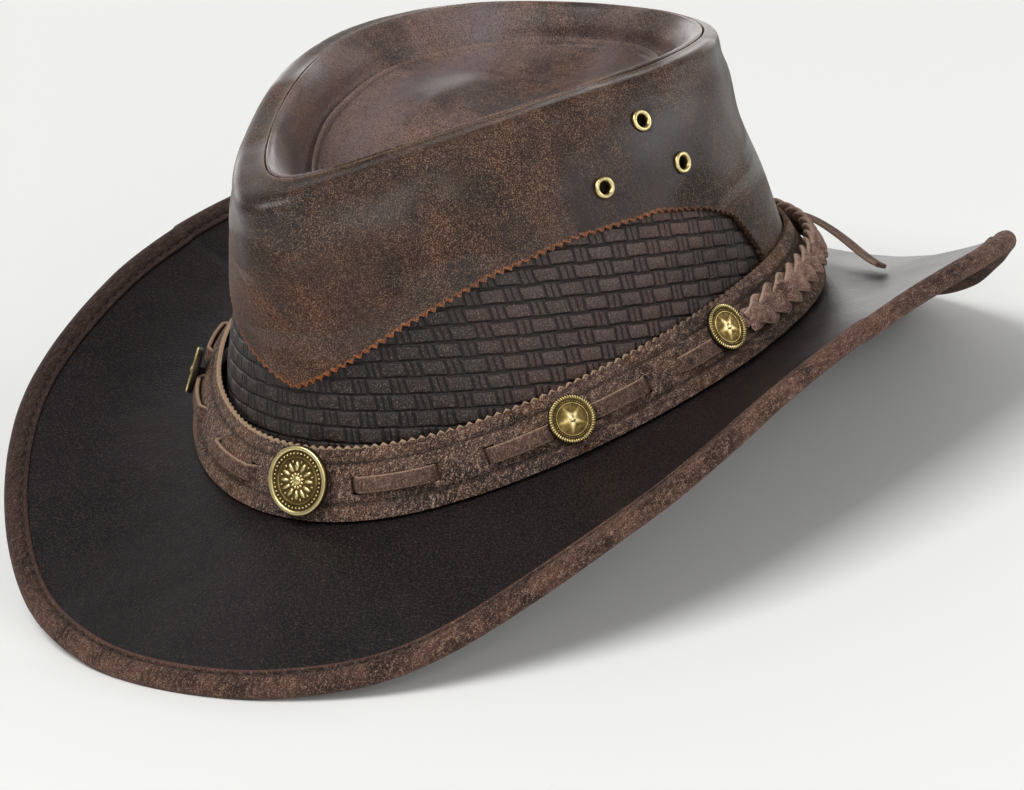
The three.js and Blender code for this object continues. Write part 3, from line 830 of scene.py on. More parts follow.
@dataclass(frozen=True)
class WaxedLeather:
    """Smooth pull-up leather, dark with paler worn patches, grey patches of painted sheen and a fine tan speckle."""

    name: str = "crown_leather"
    dark: Colour = shade(32, 20, 17)
    body: Colour = shade(64, 45, 37)
    rust: Colour = shade(94, 55, 38)
    # grey is the colour of the painted sheen patches.
    grey: Colour = shade(66, 55, 54)
    speck: Colour = shade(166, 136, 112)
    edge: Colour = shade(176, 106, 60)
    rust_share: float = 0.6
    grey_share: float = 0.5
    roughness: float = 0.46
    wax: float = 0.4
    specular: float = 0.25
    front_reach: float = 70
    pit: Colour = shade(12, 8, 8)
    raw: Colour = shade(74, 42, 28)
    rear_edge: Colour = shade(112, 88, 72)

    def build(self) -> bpy.types.Material:
        """Makes the material.

        Returns:
            The material.
        """
        g = Graph(self.name)
        s, t = g.along()
        front = s.size().ramp(self.front_reach + 60, self.front_reach) * t.ramp(118, 70)
        clouds = g.noise(58, 4, 0.6, twist=0.5)
        veins = g.noise(30, 5, 0.65, g.place((1, 1.4, 0.7), (0.4, 0.2, 0.9)), 0.8)
        drawn = g.noise(40, 4, 0.6, g.place((1, 0.6, 2.2), (0.5, 0.5, 0.2)), 0.4)
        colour = g.blend(clouds.ramp(0.4, 0.6), self.dark, self.body)
        rusty = (veins.ramp(0.48, 0.7) * self.rust_share).most(front * veins.ramp(0.4, 0.7) * 0.8)
        colour = g.blend(rusty, colour, self.rust)
        # Painted sheen: the grey patches paint a bluish-grey gloss into the colour; the same mask thickens the wax
        # coat.
        smoke = g.noise(44, 3, 0.5, g.place((1.3, 0.8, 1), (0.2, 0.7, 0.1))).ramp(0.5, 0.66) * (1 - front)
        colour = g.blend(smoke * self.grey_share, colour, self.grey)
        colour = g.blend(drawn.ramp(0.52, 0.68) * 0.5, colour, self.dark)
        fine = g.noise(0.42, 1, 0.9)
        coarse = g.noise(1.7, 2, 0.6)
        dots = fine * 0.85 + coarse * 0.15
        dry = veins.ramp(0.35, 0.65, 0.25, 0.6) - smoke * 0.25
        colour = g.blend(dots.ramp(0.5, 0.66) * dry, colour, self.speck)
        colour = g.blend(dots.ramp(0.5, 0.38) * 0.6, colour, self.pit)
        scratch = g.noise(1.0, 1, 0.5, g.place((1, 0.03, 0.25), (0.3, 0.5, 0.7))).ramp(0.78, 0.81)
        colour = g.blend(scratch * 0.22, colour, self.speck)
        margin = g.mark("margin") + coarse - 0.5
        worn = g.blend(s.size().ramp(135, 170), self.edge, self.rear_edge)
        cut = g.blend(fine.ramp(0.35, 0.6), self.raw, worn)
        colour = g.blend(margin.ramp(0.65, 0.25) * clouds.ramp(0.35, 0.55, 0.55, 0.95), colour, cut)
        lip = g.mark("lip") * fine.ramp(0.3, 0.6)
        colour = g.blend(lip * 0.5, colour, self.speck)
        normal = g.relief(g.cells(1.0).ramp(0.05, 0.5) * 0.5 + fine * 0.7, 0.1)
        normal = g.relief(g.noise(8, 3, 0.5), 0.15, normal)
        rough = veins.ramp(0.35, 0.7, self.roughness, self.roughness + 0.14) + fine * 0.1 - smoke * 0.1
        coat = smoke.most(drawn.ramp(0.5, 0.62)) * self.wax
        return g.finish(Base_Color=colour, Roughness=rough, Normal=normal, Coat_Weight=coat, Coat_Roughness=0.3,
                        Specular_IOR_Level=self.specular)


@dataclass(frozen=True)
class WovenLeather:
    """Dark leather stamped with a basket weave: lying blocks between pairs of upright bars."""

    name: str = "panel_leather"
    groove: Colour = shade(20, 14, 13)
    dark: Colour = shade(46, 33, 30)
    body: Colour = shade(80, 65, 61)
    rust: Colour = shade(100, 62, 49)
    pale: Colour = shade(168, 148, 138)
    pitch: float = 10.9
    block: float = 7.3
    row: float = 4.95
    bars: int = 2
    slope: float = 0.75
    depth: float = 0.85

    def build(self) -> bpy.types.Material:
        """Makes the material.

        Returns:
            The material.
        """
        g = Graph(self.name)
        side, up = g.along()
        s = side + (g.noise(7, 3, 0.6) - 0.5) * 1.1
        t = up + (g.noise(6, 3, 0.6, g.place(turn=(0.5, 0.2, 0.1))) - 0.5) * 0.9
        row = t / self.row
        across = s / self.pitch + row.floor() * 0.5
        x = across.fraction() * self.pitch
        y = row.fraction() * self.row
        odd = g.noise(1000, 0, 0.5, g.join(across.floor() * 3.7, row.floor() * 5.3, 0.0))
        level = y.ramp(0.05, 0.05 + self.slope) * (self.row - y).ramp(0.05, 0.05 + self.slope)
        block = x.ramp(0.1, 0.1 + self.slope) * (self.block - x).ramp(0.05, 0.05 + self.slope) * level
        swell = (y * (math.pi / self.row)).sine()
        crown = swell * 0.3 + 0.55 + (x * (math.pi / self.block)).sine() * 0.15
        gap = (self.pitch - self.block) / self.bars
        bar = (((x - self.block) / gap).fraction() * math.pi).sine()
        upright = (x - self.block).ramp(0, 0.1) * bar.ramp(0.0, 0.7, 0.25, 1) * swell.ramp(0, 0.4, 0.4, 1)
        height = block * crown + upright * 0.72 + (g.noise(1.6, 3, 0.7) - 0.5) * 0.3
        grain = g.noise(0.45, 2, 0.85)
        colour = g.blend(height.ramp(-0.1, 0.35), self.groove, self.dark)
        colour = g.blend(height.ramp(0.3, 0.9) * (odd.ramp(0.3, 0.7) * 0.4 + 0.6), colour, self.body)
        worn = g.noise(34, 4, 0.6)
        colour = g.blend(worn.ramp(0.5, 0.66) * 0.45 * height.ramp(0.1, 0.7), colour, self.rust)
        shadow = g.noise(48, 2, 0.5, g.place(turn=(0.9, 0.1, 0.3))).ramp(0.56, 0.4)
        # Painted shade: the panel is darkened at the front, where the band and crown shade it, and towards both of its
        # ends; the clouds called shadow add patches of painted shade.
        away = side.size()
        painted_shade = away.ramp(105, 30).most(away.ramp(135, 190))
        colour = g.blend((painted_shade * 0.9).most(shadow * 0.45), colour, self.groove)
        # Pale grain flecks on the raised blocks, partly real grain and partly a painted highlight.
        colour = g.blend(grain.ramp(0.52, 0.68) * 0.42 * height.ramp(0.3, 0.95), colour, self.pale)
        colour = g.blend(grain.ramp(0.48, 0.34) * 0.5, colour, self.groove)
        normal = g.relief(height, self.depth)
        normal = g.relief(grain * 0.6 + g.cells(0.9) * 0.4, 0.14, normal)
        rough = grain * 0.2 + 0.42
        return g.finish(Base_Color=colour, Roughness=rough, Normal=normal, Coat_Weight=0.15, Coat_Roughness=0.34,
                        Specular_IOR_Level=0.35)


@dataclass(frozen=True)
class BrimLeather:
    """Near-black brown leather with a fine matt grain and faint scratches."""

    name: str = "brim_leather"
    dark: Colour = shade(11, 9, 11)
    body: Colour = shade(24, 18, 21)
    warm: Colour = shade(34, 23, 22)
    speck: Colour = shade(92, 74, 66)
    pit: Colour = shade(8, 6, 7)
    roughness: float = 0.33
    specular: float = 0.3

    def build(self) -> bpy.types.Material:
        """Makes the material.

        Returns:
            The material.
        """
        g = Graph(self.name)
        colour = g.blend(g.noise(70, 4, 0.6, twist=0.5).ramp(0.36, 0.64), self.dark, self.body)
        clouds = g.noise(46, 4, 0.65, g.place(turn=(0.3, 0.1, 0.8)))
        colour = g.blend(clouds.ramp(0.54, 0.72) * 0.45, colour, self.warm)
        fine = g.noise(0.62, 1, 0.9)
        colour = g.blend(fine.ramp(0.5, 0.68) * 0.28, colour, self.speck)
        colour = g.blend(fine.ramp(0.48, 0.36) * 0.5, colour, self.pit)
        scratch = g.noise(1.2, 1, 0.5, g.place((1, 0.03, 0.5), (0.2, 0.1, 0.6))).ramp(0.76, 0.8)
        cross = g.noise(1.1, 1, 0.5, g.place((0.04, 1, 0.5), (0.1, 0.2, 0.3))).ramp(0.765, 0.8)
        colour = g.blend((scratch + cross) * 0.2, colour, self.speck)
        normal = g.relief(fine * 0.7 + g.cells(1.0).ramp(0.05, 0.5) * 0.4, 0.12)
        normal = g.relief(g.noise(16, 3, 0.5), 0.35, normal)
        rough = g.noise(45, 3, 0.5).ramp(0.3, 0.7, self.roughness, self.roughness + 0.1) + fine * 0.1
        return g.finish(Base_Color=colour, Roughness=rough, Normal=normal, Coat_Weight=0.08, Coat_Roughness=0.4,
                        Specular_IOR_Level=self.specular)


@dataclass(frozen=True)
class Suede:
    """Rough split leather with a short nap. The mark named margin is the distance from a paler cut edge."""

    name: str
    dark: Colour
    body: Colour
    pale: Colour
    grey: Colour = shade(70, 62, 66)
    grey_share: float = 0.0
    nap: float = 0.45
    contrast: float = 0.75
    edge: Colour | None = None
    edge_width: float = 1.2
    pit: Colour = shade(20, 13, 12)
    patina: Colour = shade(22, 15, 15)
    darker_side_pale: Colour = shade(76, 58, 52)
    seam: Colour = shade(16, 11, 11)

    def build(self) -> bpy.types.Material:
        """Makes the material.

        Returns:
            The material.
        """
        g = Graph(self.name)
        clouds = g.noise(20, 4, 0.65, twist=0.6)
        colour = g.blend(clouds.ramp(0.38, 0.56), self.dark, self.body)
        if self.grey_share:
            smoke = g.noise(34, 3, 0.55, g.place(turn=(0.9, 0.4, 0.2))).ramp(0.47, 0.58)
            colour = g.blend(smoke * self.grey_share, colour, self.grey)
        nap = g.noise(self.nap, 2, 0.9)
        fibre = g.noise(0.8, 2, 0.6, g.place((1, 0.25, 0.5), (0.5, 0.8, 0.2)))
        mixed = nap * 0.7 + fibre * 0.3
        colour = g.blend(mixed.ramp(0.5, 0.66) * self.contrast, colour, self.pale)
        colour = g.blend(mixed.ramp(0.5, 0.36) * self.contrast, colour, self.pit)
        if self.edge:
            margin = g.mark("margin") + (nap - 0.5) * 2.2
            colour = g.blend(margin.ramp(self.edge_width, self.edge_width * 0.3) * 0.85, colour, self.edge)
        # Where its mark is set, a piece is darker on one side, with dark and paler flecks.
        side_tone = g.blend(mixed.ramp(0.4, 0.65), self.patina, self.darker_side_pale)
        colour = g.blend(g.mark("patina") * 0.85, colour, side_tone)
        colour = g.blend(g.mark("seam") * 0.75, colour, self.seam)
        return g.finish(Base_Color=colour, Roughness=nap * 0.15 + 0.8, Normal=g.relief(mixed, 0.6), Sheen_Weight=0.15,
                        Sheen_Roughness=0.5, Sheen_Tint=(*self.pale, 1), Specular_IOR_Level=0.25)


@dataclass(frozen=True)
class OldBrass:
    """Antique brass, dark where the relief mark is low and rubbed bright where it is high."""

    name: str = "old_brass"
    dark: Colour = shade(36, 27, 16)
    body: Colour = shade(150, 126, 74)
    bright: Colour = shade(236, 218, 160)

    def build(self) -> bpy.types.Material:
        """Makes the material.

        Returns:
            The material.
        """
        g = Graph(self.name)
        high = g.mark("relief")
        stain = g.noise(2.0, 3, 0.7)
        wear = (high + (stain - 0.5) * 0.6).ramp(0.1, 0.75)
        colour = g.blend(wear, self.dark, self.body)
        colour = g.blend((high + (stain - 0.5) * 0.5).ramp(0.6, 1.0), colour, self.bright)
        rough = wear.ramp(0, 1, 0.55, 0.32) + stain * 0.08
        normal = g.relief(g.noise(0.9, 3, 0.6), 0.06)
        return g.finish(Base_Color=colour, Metallic=wear.ramp(0, 0.5, 0.6, 1.0), Roughness=rough, Normal=normal)


@dataclass(frozen=True)
class Thread:
    """Dark waxed sewing thread."""

    name: str = "thread"
    colour: Colour = shade(40, 28, 24)
    pale: Colour = shade(72, 54, 44)

    def build(self) -> bpy.types.Material:
        """Makes the material.

        Returns:
            The material.
        """
        g = Graph(self.name)
        twist = g.noise(0.35, 2, 0.6)
        colour = g.blend(twist, self.colour, self.pale)
        return g.finish(Base_Color=colour, Roughness=0.62, Normal=g.relief(twist, 0.08))


class Finish(Enum):
    """The named finishes of the hat."""

    CROWN = WaxedLeather()
    # Painted sheen: the top is the crown's leather, painted lighter and greyer all over for the sheen on its upward
    # face.
    TOP = WaxedLeather("crown_top_leather_painted_sheen", shade(62, 50, 49), shade(112, 92, 88), shade(138, 98, 78),
                       shade(124, 110, 113), rust_share=0.4, grey_share=0.6, specular=0.4, front_reach=-60)
    PANEL = WovenLeather()
    BRIM = BrimLeather()
    CUT = Suede("cut_edge", shade(112, 60, 36), shade(170, 98, 58), shade(206, 146, 100), nap=0.9, contrast=0.4)
    BINDING = Suede("binding_leather", shade(46, 30, 26), shade(90, 63, 54), shade(174, 142, 122),
                    edge=shade(88, 62, 54), edge_width=1.4)
    BAND = Suede("band_leather", shade(32, 21, 17), shade(92, 65, 53), shade(198, 166, 142), grey_share=0.35,
                 contrast=0.9, edge=shade(198, 168, 138), edge_width=0.8)
    PALE = Suede("pale_edge", shade(128, 100, 78), shade(186, 154, 124), shade(228, 204, 178), nap=0.8, contrast=0.4)
    LACE = Suede("lace_suede", shade(66, 47, 41), shade(98, 74, 65), shade(172, 142, 122),
                 edge=shade(176, 146, 122), edge_width=0.35)
    BRAID = Suede("braid_suede", shade(96, 68, 60), shade(146, 112, 100), shade(212, 182, 162),
                  edge=shade(196, 170, 148), edge_width=0.35)
    BRASS = OldBrass()
    THREAD = Thread()

    @property
    def material(self) -> bpy.types.Material:
        """The built material, made once."""
        known = bpy.data.materials.get(f"{self.value.name}_finish")
        return known or self.value.build()


def dress(piece: bpy.types.Object, finishes: Sequence[Finish], slot: str, *nodes: str) -> bpy.types.Object:
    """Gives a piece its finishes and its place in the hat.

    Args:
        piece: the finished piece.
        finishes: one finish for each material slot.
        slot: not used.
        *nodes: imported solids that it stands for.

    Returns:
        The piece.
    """
    piece.data.materials.clear()
    for finish in finishes:
        piece.data.materials.append(finish.material)
    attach(piece, "root")
    if nodes:
        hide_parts(*nodes)
    log.info("%s: %d faces", piece.name, len(piece.data.polygons))
    return piece


# Sub-assemblies

def even_angles(line: Callable[[Array], Array], low: float = -180,
                high: float = 180) -> tuple[Callable[[Array], Array], float]:
    """Spaces angles evenly along a line of the hat.

    Args:
        line: gives points in millimetres for angles in radians.
        low: first angle in degrees.
        high: last angle in degrees.

    Returns:
        A function from a share of the way to an angle, and the line's length.
    """
    fine = np.radians(np.linspace(low, high, FINE_STEPS))
    run = run_along(line(fine))
    return lambda share: np.interp(share * run[-1], run, fine), float(run[-1])


def crown_lift(angle: Array, place: Array) -> Array:
    """Height of the crown's hand-worked unevenness above its smooth form.

    Args:
        angle: angles round the hat in radians.
        place: places up the wall.

    Returns:
        Heights in millimetres, with a roll at the shoulder and a dip below it.
    """
    points = FORM.wall_point(angle, place)
    roll = 0.55 * bell(place, 5.25, 0.35) - 0.8 * bell(place, 4.35, 0.42)
    return ripple(points, 62, 0.28, 3) + ripple(points, 17, 0.05, 5) + roll


def brim_lift(angle: Array, place: Array) -> Array:
    """Height of the brim's unevenness above its smooth form, none under the crown."""
    points = FORM.brim_point(angle, place)
    return (ripple(points, 70, 0.35, 8) + ripple(points, 22, 0.1, 9)) * ramp(place, 0.25, 0.6)


def brim_place(angle: Array, distance: Array | float) -> Array:
    """Place on the brim at a distance in from its edge.

    Args:
        angle: angles round the hat in radians.
        distance: distances in millimetres.

    Returns:
        Places across the brim.
    """
    one = np.ones_like(angle)
    step = np.linalg.norm(FORM.brim_point(angle, one) - FORM.brim_point(angle, one * (1 - EDGE_SHARE)), axis=-1)
    return 1 - EDGE_SHARE * distance / step


def punch(piece: bpy.types.Object, stand: Matrix, half: tuple[float, float], round_hole: bool) -> None:
    """Opens a hole in a single sheet and draws its border onto the hole's outline.

    Args:
        piece: the sheet, before it has its thickness.
        stand: matrix of the hole's centre.
        half: half its length along the hat's round and half its height in millimetres.
        round_hole: whether it is round.
    """
    deep = 3
    just_inside = 0.98
    back = stand.inverted()

    def look(vertex: bmesh.types.BMVert) -> tuple[Vector, float]:
        """A vertex seen from the hole.

        Args:
            vertex: the vertex.

        Returns:
            Its place in the hole's frame, and its reach, which is 1 on the hole's outline.
        """
        local = back @ vertex.co
        x, y = local.x / half[0], local.y / half[1]
        return local, math.hypot(x, y) if round_hole else max(abs(x), abs(y))

    body = bmesh.new()
    body.from_mesh(piece.data)
    inside = []
    for vertex in body.verts:
        local, reach = look(vertex)
        if reach < just_inside and abs(local.z) < deep:
            inside.append(vertex)
    border = {other for vertex in inside for face in vertex.link_faces for other in face.verts} - set(inside)
    bmesh.ops.delete(body, geom=inside, context="VERTS")
    for vertex in border:
        if not vertex.is_valid:
            continue
        local, reach = look(vertex)
        local.x, local.y = local.x / reach, local.y / reach
        vertex.co = stand @ local
    body.to_mesh(piece.data)
    body.free()


def lay_strip(name: str, columns: int, around: int, line: Line, width: float, thickness: float,
              corner: float) -> bpy.types.Object:
    """Makes a strip of leather or lace along a line, with closed ends.

    Args:
        name: name of the new piece.
        columns: faces along it.
        around: faces round its section.
        line: gives centres in millimetres and normals of the flat side for shares of the way.
        width: width in millimetres.
        thickness: thickness in millimetres.
        corner: how round the section is, 1 for an ellipse and less for a box.

    Returns:
        The piece.
    """
    step = 1e-3

    def shape(u: Array, v: Array) -> tuple[Array, Array]:
        """Points of the strip's skin, with its ends drawn flat.

        Args:
            u: shares along the strip.
            v: shares round its section.

        Returns:
            Points in millimetres, and flat coordinates in metres.
        """
        column = np.round(u * columns)
        share = np.clip((column - 1) / (columns - 2), 0, 1)
        end = ((column == 0) | (column == columns)).astype(float)
        centre, normal = line(share)
        along = line(np.minimum(share + step, 1))[0] - line(np.maximum(share - step, 0))[0]
        along /= np.linalg.norm(along, axis=1, keepdims=True)
        across = np.cross(along, normal)
        across /= np.linalg.norm(across, axis=1, keepdims=True)
        up = np.cross(across, along)
        turn = 2 * math.pi * v
        x = np.sign(np.cos(turn)) * np.abs(np.cos(turn)) ** corner * width / 2
        y = np.sign(np.sin(turn)) * np.abs(np.sin(turn)) ** corner * thickness / 2 * (1 - end)
        points = centre + across * x[:, None] + up * y[:, None]
        length = length_of(line(np.linspace(0, 1, 400))[0])
        return points, np.stack([share * length, x + width], -1) * MM

    def marks(u: Array, v: Array) -> dict[str, Array]:
        """Distance from the strip's cut edges."""
        x = np.abs(np.cos(2 * math.pi * v)) ** corner
        return {"margin": (1 - x) * width / 2}

    piece = place_grid(name, columns, around, shape, marks)
    turn_outwards(piece)
    settle(piece, sharp=60)
    return piece


def sew(name: str, line: Line, pitch: float, length: float, thickness: float, slot: str) -> bpy.types.Object:
    """Sews a row of stitches.

    Args:
        name: name of the new piece.
        line: gives points in millimetres and normals for shares of the way.
        pitch: millimetres from one stitch to the next.
        length: length of a stitch.
        thickness: thickness of the thread.
        slot: name of a slot, passed on to dress.

    Returns:
        The piece.
    """
    step = 2e-4
    fine = np.linspace(0, 1, FINE_STEPS)
    run = run_along(line(fine)[0])
    count = int(run[-1] / pitch)
    shares = np.interp((np.arange(count) + 0.5) * run[-1] / count, run, fine)
    points, normals = line(shares)
    ahead = line(np.minimum(shares + step, 1))[0] - line(np.maximum(shares - step, 0))[0]
    body = bmesh.new()
    for point, normal, along in zip(metres(points), normals, ahead):
        axis = Vector(along).normalized()
        up = Vector(normal)
        up = (up - axis * up.dot(axis)).normalized()
        turn = Matrix((axis, up.cross(axis), up)).transposed().to_4x4()
        size = Matrix.Diagonal((length / 2 * MM, thickness / 2 * MM, thickness / 2 * MM, 1))
        add_bead(body, Matrix.Translation(point) @ turn @ size)
    return dress(piece_of(name, body, sharp=180), [Finish.THREAD], slot)


@dataclass
class Crown:
    """The waxed crown: a wall with a pinked foot, and the top set into it."""

    tooth: float = 2.85
    tooth_depth: float = 1.35
    pinked_from: float = 0.4
    rows: int = 46
    turn: float = 93.0
    seat: float = 24.0
    lip: float = 0.14
    top_columns: int = 320
    top_rows: int = 84
    top_share: float = 0.84
    ridge: float = 3.45

    def edge(self, angle: Array) -> Array:
        """Points along the wall's foot."""
        return FORM.wall_point(angle, FORM.lower_edge(angle))

    def build_wall(self, eyelets: "Eyelets") -> bpy.types.Object:
        """Builds the wall.

        Args:
            eyelets: the eyelets whose holes it gets.

        Returns:
            The wall.
        """
        to_angle, length = even_angles(self.edge)
        teeth = round(length / self.tooth)
        last = FORM.wall.high
        levels = np.linspace(0, 1, self.rows + 1)
        rise = np.interp(levels, np.array([0, 1, 2, 4, 6, self.rows]) / self.rows, [0, 0.008, 0.02, 0.05, 0.085, 1])

        def spot(u: Array, v: Array) -> tuple[Array, Array, Array]:
            """Finds where vertices lie on the wall.

            Args:
                u: shares round the wall.
                v: shares up it.

            Returns:
                Angles, places, and places of the wall's foot at those angles.
            """
            angle = to_angle(u)
            low = FORM.lower_edge(angle)
            rate = (FORM.lower_edge(angle + STEP) - FORM.lower_edge(angle - STEP)) / (2 * STEP)
            slope = rate * self.seat / self.turn
            teeth_here = zigzag(u * teeth, 1) * (v < 1e-6) * (low > self.pinked_from)
            tip = teeth_here * self.tooth_depth / np.sqrt(1 + slope**2)
            place = low + (last - low) * np.interp(v, levels, rise)
            return angle + tip * slope / self.turn, place - tip / self.seat, low

        def shape(u: Array, v: Array) -> tuple[Array, Array]:
            """Lays the wall's vertices.

            Args:
                u: shares round the wall.
                v: shares up it.

            Returns:
                Points in millimetres, and flat coordinates in metres.
            """
            angle, place, _ = spot(u, v)
            lift = crown_lift(angle, place)
            flat = np.stack([angle * self.turn, place * self.seat], -1) * MM
            return FORM.wall.lifted(angle, place, lift), flat

        def marks(u: Array, v: Array) -> dict[str, Array]:
            """Marks the distance from the pinked foot, and the upper edge.

            Args:
                u: shares round the wall.
                v: shares up it.

            Returns:
                The marks by name.
            """
            _, place, low = spot(u, v)
            margin = np.where(low > self.pinked_from, np.maximum(place - low, 0) * self.seat, FAR)
            return {"margin": margin, "lip": ramp(place, last - self.lip, last)}

        piece = place_grid("crown_shell", 2 * teeth, self.rows, shape, marks)
        for stand in eyelets.stands():
            punch(piece, stand, (eyelets.hole, eyelets.hole), True)
        give_wall(piece, FORM.crown_leather)
        settle(piece)
        return dress(piece, [Finish.CROWN, Finish.CUT], "crown_leather", "crown_wall")

    def build_top(self) -> bpy.types.Object:
        """Builds the inset top with its gutter, raised line and dished floor.

        Returns:
            The top.
        """
        last = FORM.top.high
        sag = np.array([0, 0, 0.5])

        def shape(u: Array, v: Array) -> tuple[Array, Array]:
            """Lays the top's vertices.

            Args:
                u: shares round the top.
                v: shares inwards, whose last part closes the middle.

            Returns:
                Points in millimetres, and flat coordinates in metres.
            """
            angle = (2 * u - 1) * math.pi
            place = np.minimum(v / self.top_share, 1) * last
            lift = (1.5 * bell(place, self.ridge, 0.2) - 1.0 * bell(place, 2.6, 0.5) - 0.7 * bell(place, 4.3, 0.45)
                    + 0.3 * bell(place, 0.35, 0.25))
            points = FORM.top.lifted(angle, place, lift)
            points[:, 2] += ripple(points, 30, 0.35, 13) * ramp(place, 0.3, 1.5)
            middle = points[np.abs(place - last) < 1e-9].mean(axis=0) - sag
            inner = np.clip((v - self.top_share) / (1 - self.top_share), 0, 1)[:, None]
            points = points * (1 - inner) + middle * inner
            return points, points[:, :2] * MM

        def marks(u: Array, v: Array) -> dict[str, Array]:
            """No raw edge, and paler flecks along the raised line."""
            place = np.minimum(v / self.top_share, 1) * last
            return {"margin": np.full_like(v, FAR), "lip": 0.5 * bell(place, self.ridge, 0.16)}

        piece = place_grid("crown_inset_top", self.top_columns, self.top_rows, shape, marks)
        give_wall(piece, FORM.crown_leather)
        settle(piece)
        return dress(piece, [Finish.TOP, Finish.CUT], "crown_leather", "crown_top")


@dataclass
class WeavePanel:
    """The stamped panel that shows below the crown leather's edge."""

    end: float = 120
    clearance: float = 0.4
    tuck: float = 0.1
    least_level: float = 0.06
    foot: float = 0.065
    middle: float = 1.6
    flat_radius: float = 440
    columns: int = 360
    rows: int = 22

    def build(self) -> bpy.types.Object:
        """Builds the panel, whose pattern lies straight on the leather as it was cut, before it was bent round.

        Returns:
            The panel.
        """
        to_angle, length = even_angles(lambda angle: FORM.wall_point(angle, np.full_like(angle, self.middle)),
                                       -self.end, self.end)

        def shape(u: Array, v: Array) -> tuple[Array, Array]:
            """Lays the panel's vertices.

            Args:
                u: shares round the panel.
                v: shares up it.

            Returns:
                Points in millimetres, and flat coordinates in metres.
            """
            angle = to_angle(u)
            top = FORM.place_of(np.maximum(FORM.look_up(EDGE_CURVE, angle, False), self.least_level) + self.tuck)
            place = self.foot + (top - self.foot) * v
            lift = crown_lift(angle, place) - FORM.crown_leather - self.clearance
            points = FORM.wall.lifted(angle, place, lift)
            turn = (u - 0.5) * length / self.flat_radius
            reach = self.flat_radius - (points[:, 2] - FORM.mouth_side)
            return points, np.stack([reach * np.sin(turn), self.flat_radius - reach * np.cos(turn)], -1) * MM

        piece = place_grid("weave_panel_stamped", self.columns, self.rows, shape)
        give_wall(piece, FORM.panel_leather)
        settle(piece)
        return dress(piece, [Finish.PANEL, Finish.CUT], "panel_leather", "weave_panel")


@dataclass
class Brim:
    """The brim, and the strip that binds its edge."""

    columns: int = 400
    rows: int = 56
    binding_columns: int = 480
    binding_width: float = 6.0
    binding_run: float = 150
    floor_clearance: float = 0.03
    stitch_in: float = 4.2
    stitch_pitch: float = 4.4

    def build_sheet(self) -> bpy.types.Object:
        """Builds the brim's leather.

        Returns:
            The sheet.
        """

        def shape(u: Array, v: Array) -> tuple[Array, Array]:
            """Lays the brim's vertices.

            Args:
                u: shares round the brim.
                v: shares inwards from its edge.

            Returns:
                Points in millimetres, and flat coordinates in metres.
            """
            angle = (2 * u - 1) * math.pi
            place = 1 - v
            points = FORM.brim.lifted(angle, place, brim_lift(angle, place))
            return points, points[:, :2] * MM

        piece = place_grid("brim_sheet", self.columns, self.rows, shape)
        give_wall(piece, FORM.brim_leather, edge_slot=0)
        settle(piece)
        return dress(piece, [Finish.BRIM], "brim_leather", "brim")

    def build_binding(self) -> bpy.types.Object:
        """Builds the folded strip from its section of distance in from the edge and height above the brim.

        Returns:
            The strip.
        """
        section = np.array([
            (6.0, 0.2), (6.0, 0.55), (5.8, 0.8), (5.3, 0.9), (4.8, 0.8), (4.45, 0.5), (4.2, 0.35), (3.95, 0.5),
            (3.6, 0.8), (2.9, 1.1), (2.0, 1.2), (1.0, 1.15), (0.2, 1.0), (-0.6, 0.65), (-1.3, 0), (-1.8, -0.9),
            (-2.0, -1.9), (-1.8, -3.0), (-1.1, -4.1), (-0.1, -4.65), (1.2, -4.85), (3, -4.85), (5, -4.8), (6.4, -4.65),
            (7, -4.2), (7, -3.4), (6, -3.35), (3.5, -3.35), (1, -3.35), (-0.1, -3.2), (-0.5, -1.6), (-0.1, 0.05),
            (1, 0.15), (3.5, 0.15), (5, 0.15), (6.0, 0.2)])
        around = len(section) - 1

        def shape(u: Array, v: Array) -> tuple[Array, Array]:
            """Lays the strip's vertices.

            Args:
                u: shares round the brim.
                v: shares round the strip's section.

            Returns:
                Points in millimetres, and flat coordinates in metres.
            """
            angle = (2 * u - 1) * math.pi
            row = np.round(v * around).astype(int)
            inward, height = section[row, 0], section[row, 1]
            place = brim_place(angle, np.maximum(inward, 0))
            edge = FORM.brim_edge(angle)
            along = edge - FORM.brim_point(angle, np.full_like(angle, 1 - EDGE_SHARE))
            along /= np.linalg.norm(along, axis=1, keepdims=True)
            lift = brim_lift(angle, place) + height
            points = FORM.brim.lifted(angle, place, lift) + along * np.maximum(-inward, 0)[:, None]
            points[:, 2] = np.maximum(points[:, 2], self.floor_clearance)
            return points, np.stack([angle * self.binding_run, inward], -1) * MM

        def marks(u: Array, v: Array) -> dict[str, Array]:
            """Marks the distance from the strip's inner edge, its seam, and its darker side.

            Args:
                u: shares round the brim.
                v: shares round the strip's section.

            Returns:
                The marks by name.
            """
            row = np.round(v * around).astype(int)
            upper = section[row, 1] > -2
            seam = bell(section[row, 0], self.stitch_in, 0.45) * upper
            turn = -np.degrees((2 * u - 1) * math.pi)
            # The binding is darker on its -X half, from about 5 to 172 degrees round from the front.
            return {"margin": np.where(upper, self.binding_width - section[row, 0], FAR), "seam": seam,
                    "patina": ramp(turn, 5, 45) * (1 - ramp(turn, 140, 172))}

        piece = place_grid("brim_edge_binding", self.binding_columns, around, shape, marks)
        turn_outwards(piece)
        settle(piece, sharp=60)
        return dress(piece, [Finish.BINDING], "binding_leather", "brim_binding")

    def build_stitches(self) -> bpy.types.Object:
        """Sews the binding's seam.

        Returns:
            The stitches.
        """
        height, length, thickness = 0.42, 3.3, 0.7

        def line(share: Array) -> tuple[Array, Array]:
            """The seam on the brim's upper face.

            Args:
                share: shares round the brim.

            Returns:
                Points in millimetres and normals.
            """
            angle = (2 * share - 1) * math.pi
            place = brim_place(angle, self.stitch_in)
            return FORM.brim.lifted(angle, place, brim_lift(angle, place) + height), FORM.brim.normal(angle, place)

        return sew("binding_stitches", line, self.stitch_pitch, length, thickness, "binding_leather")


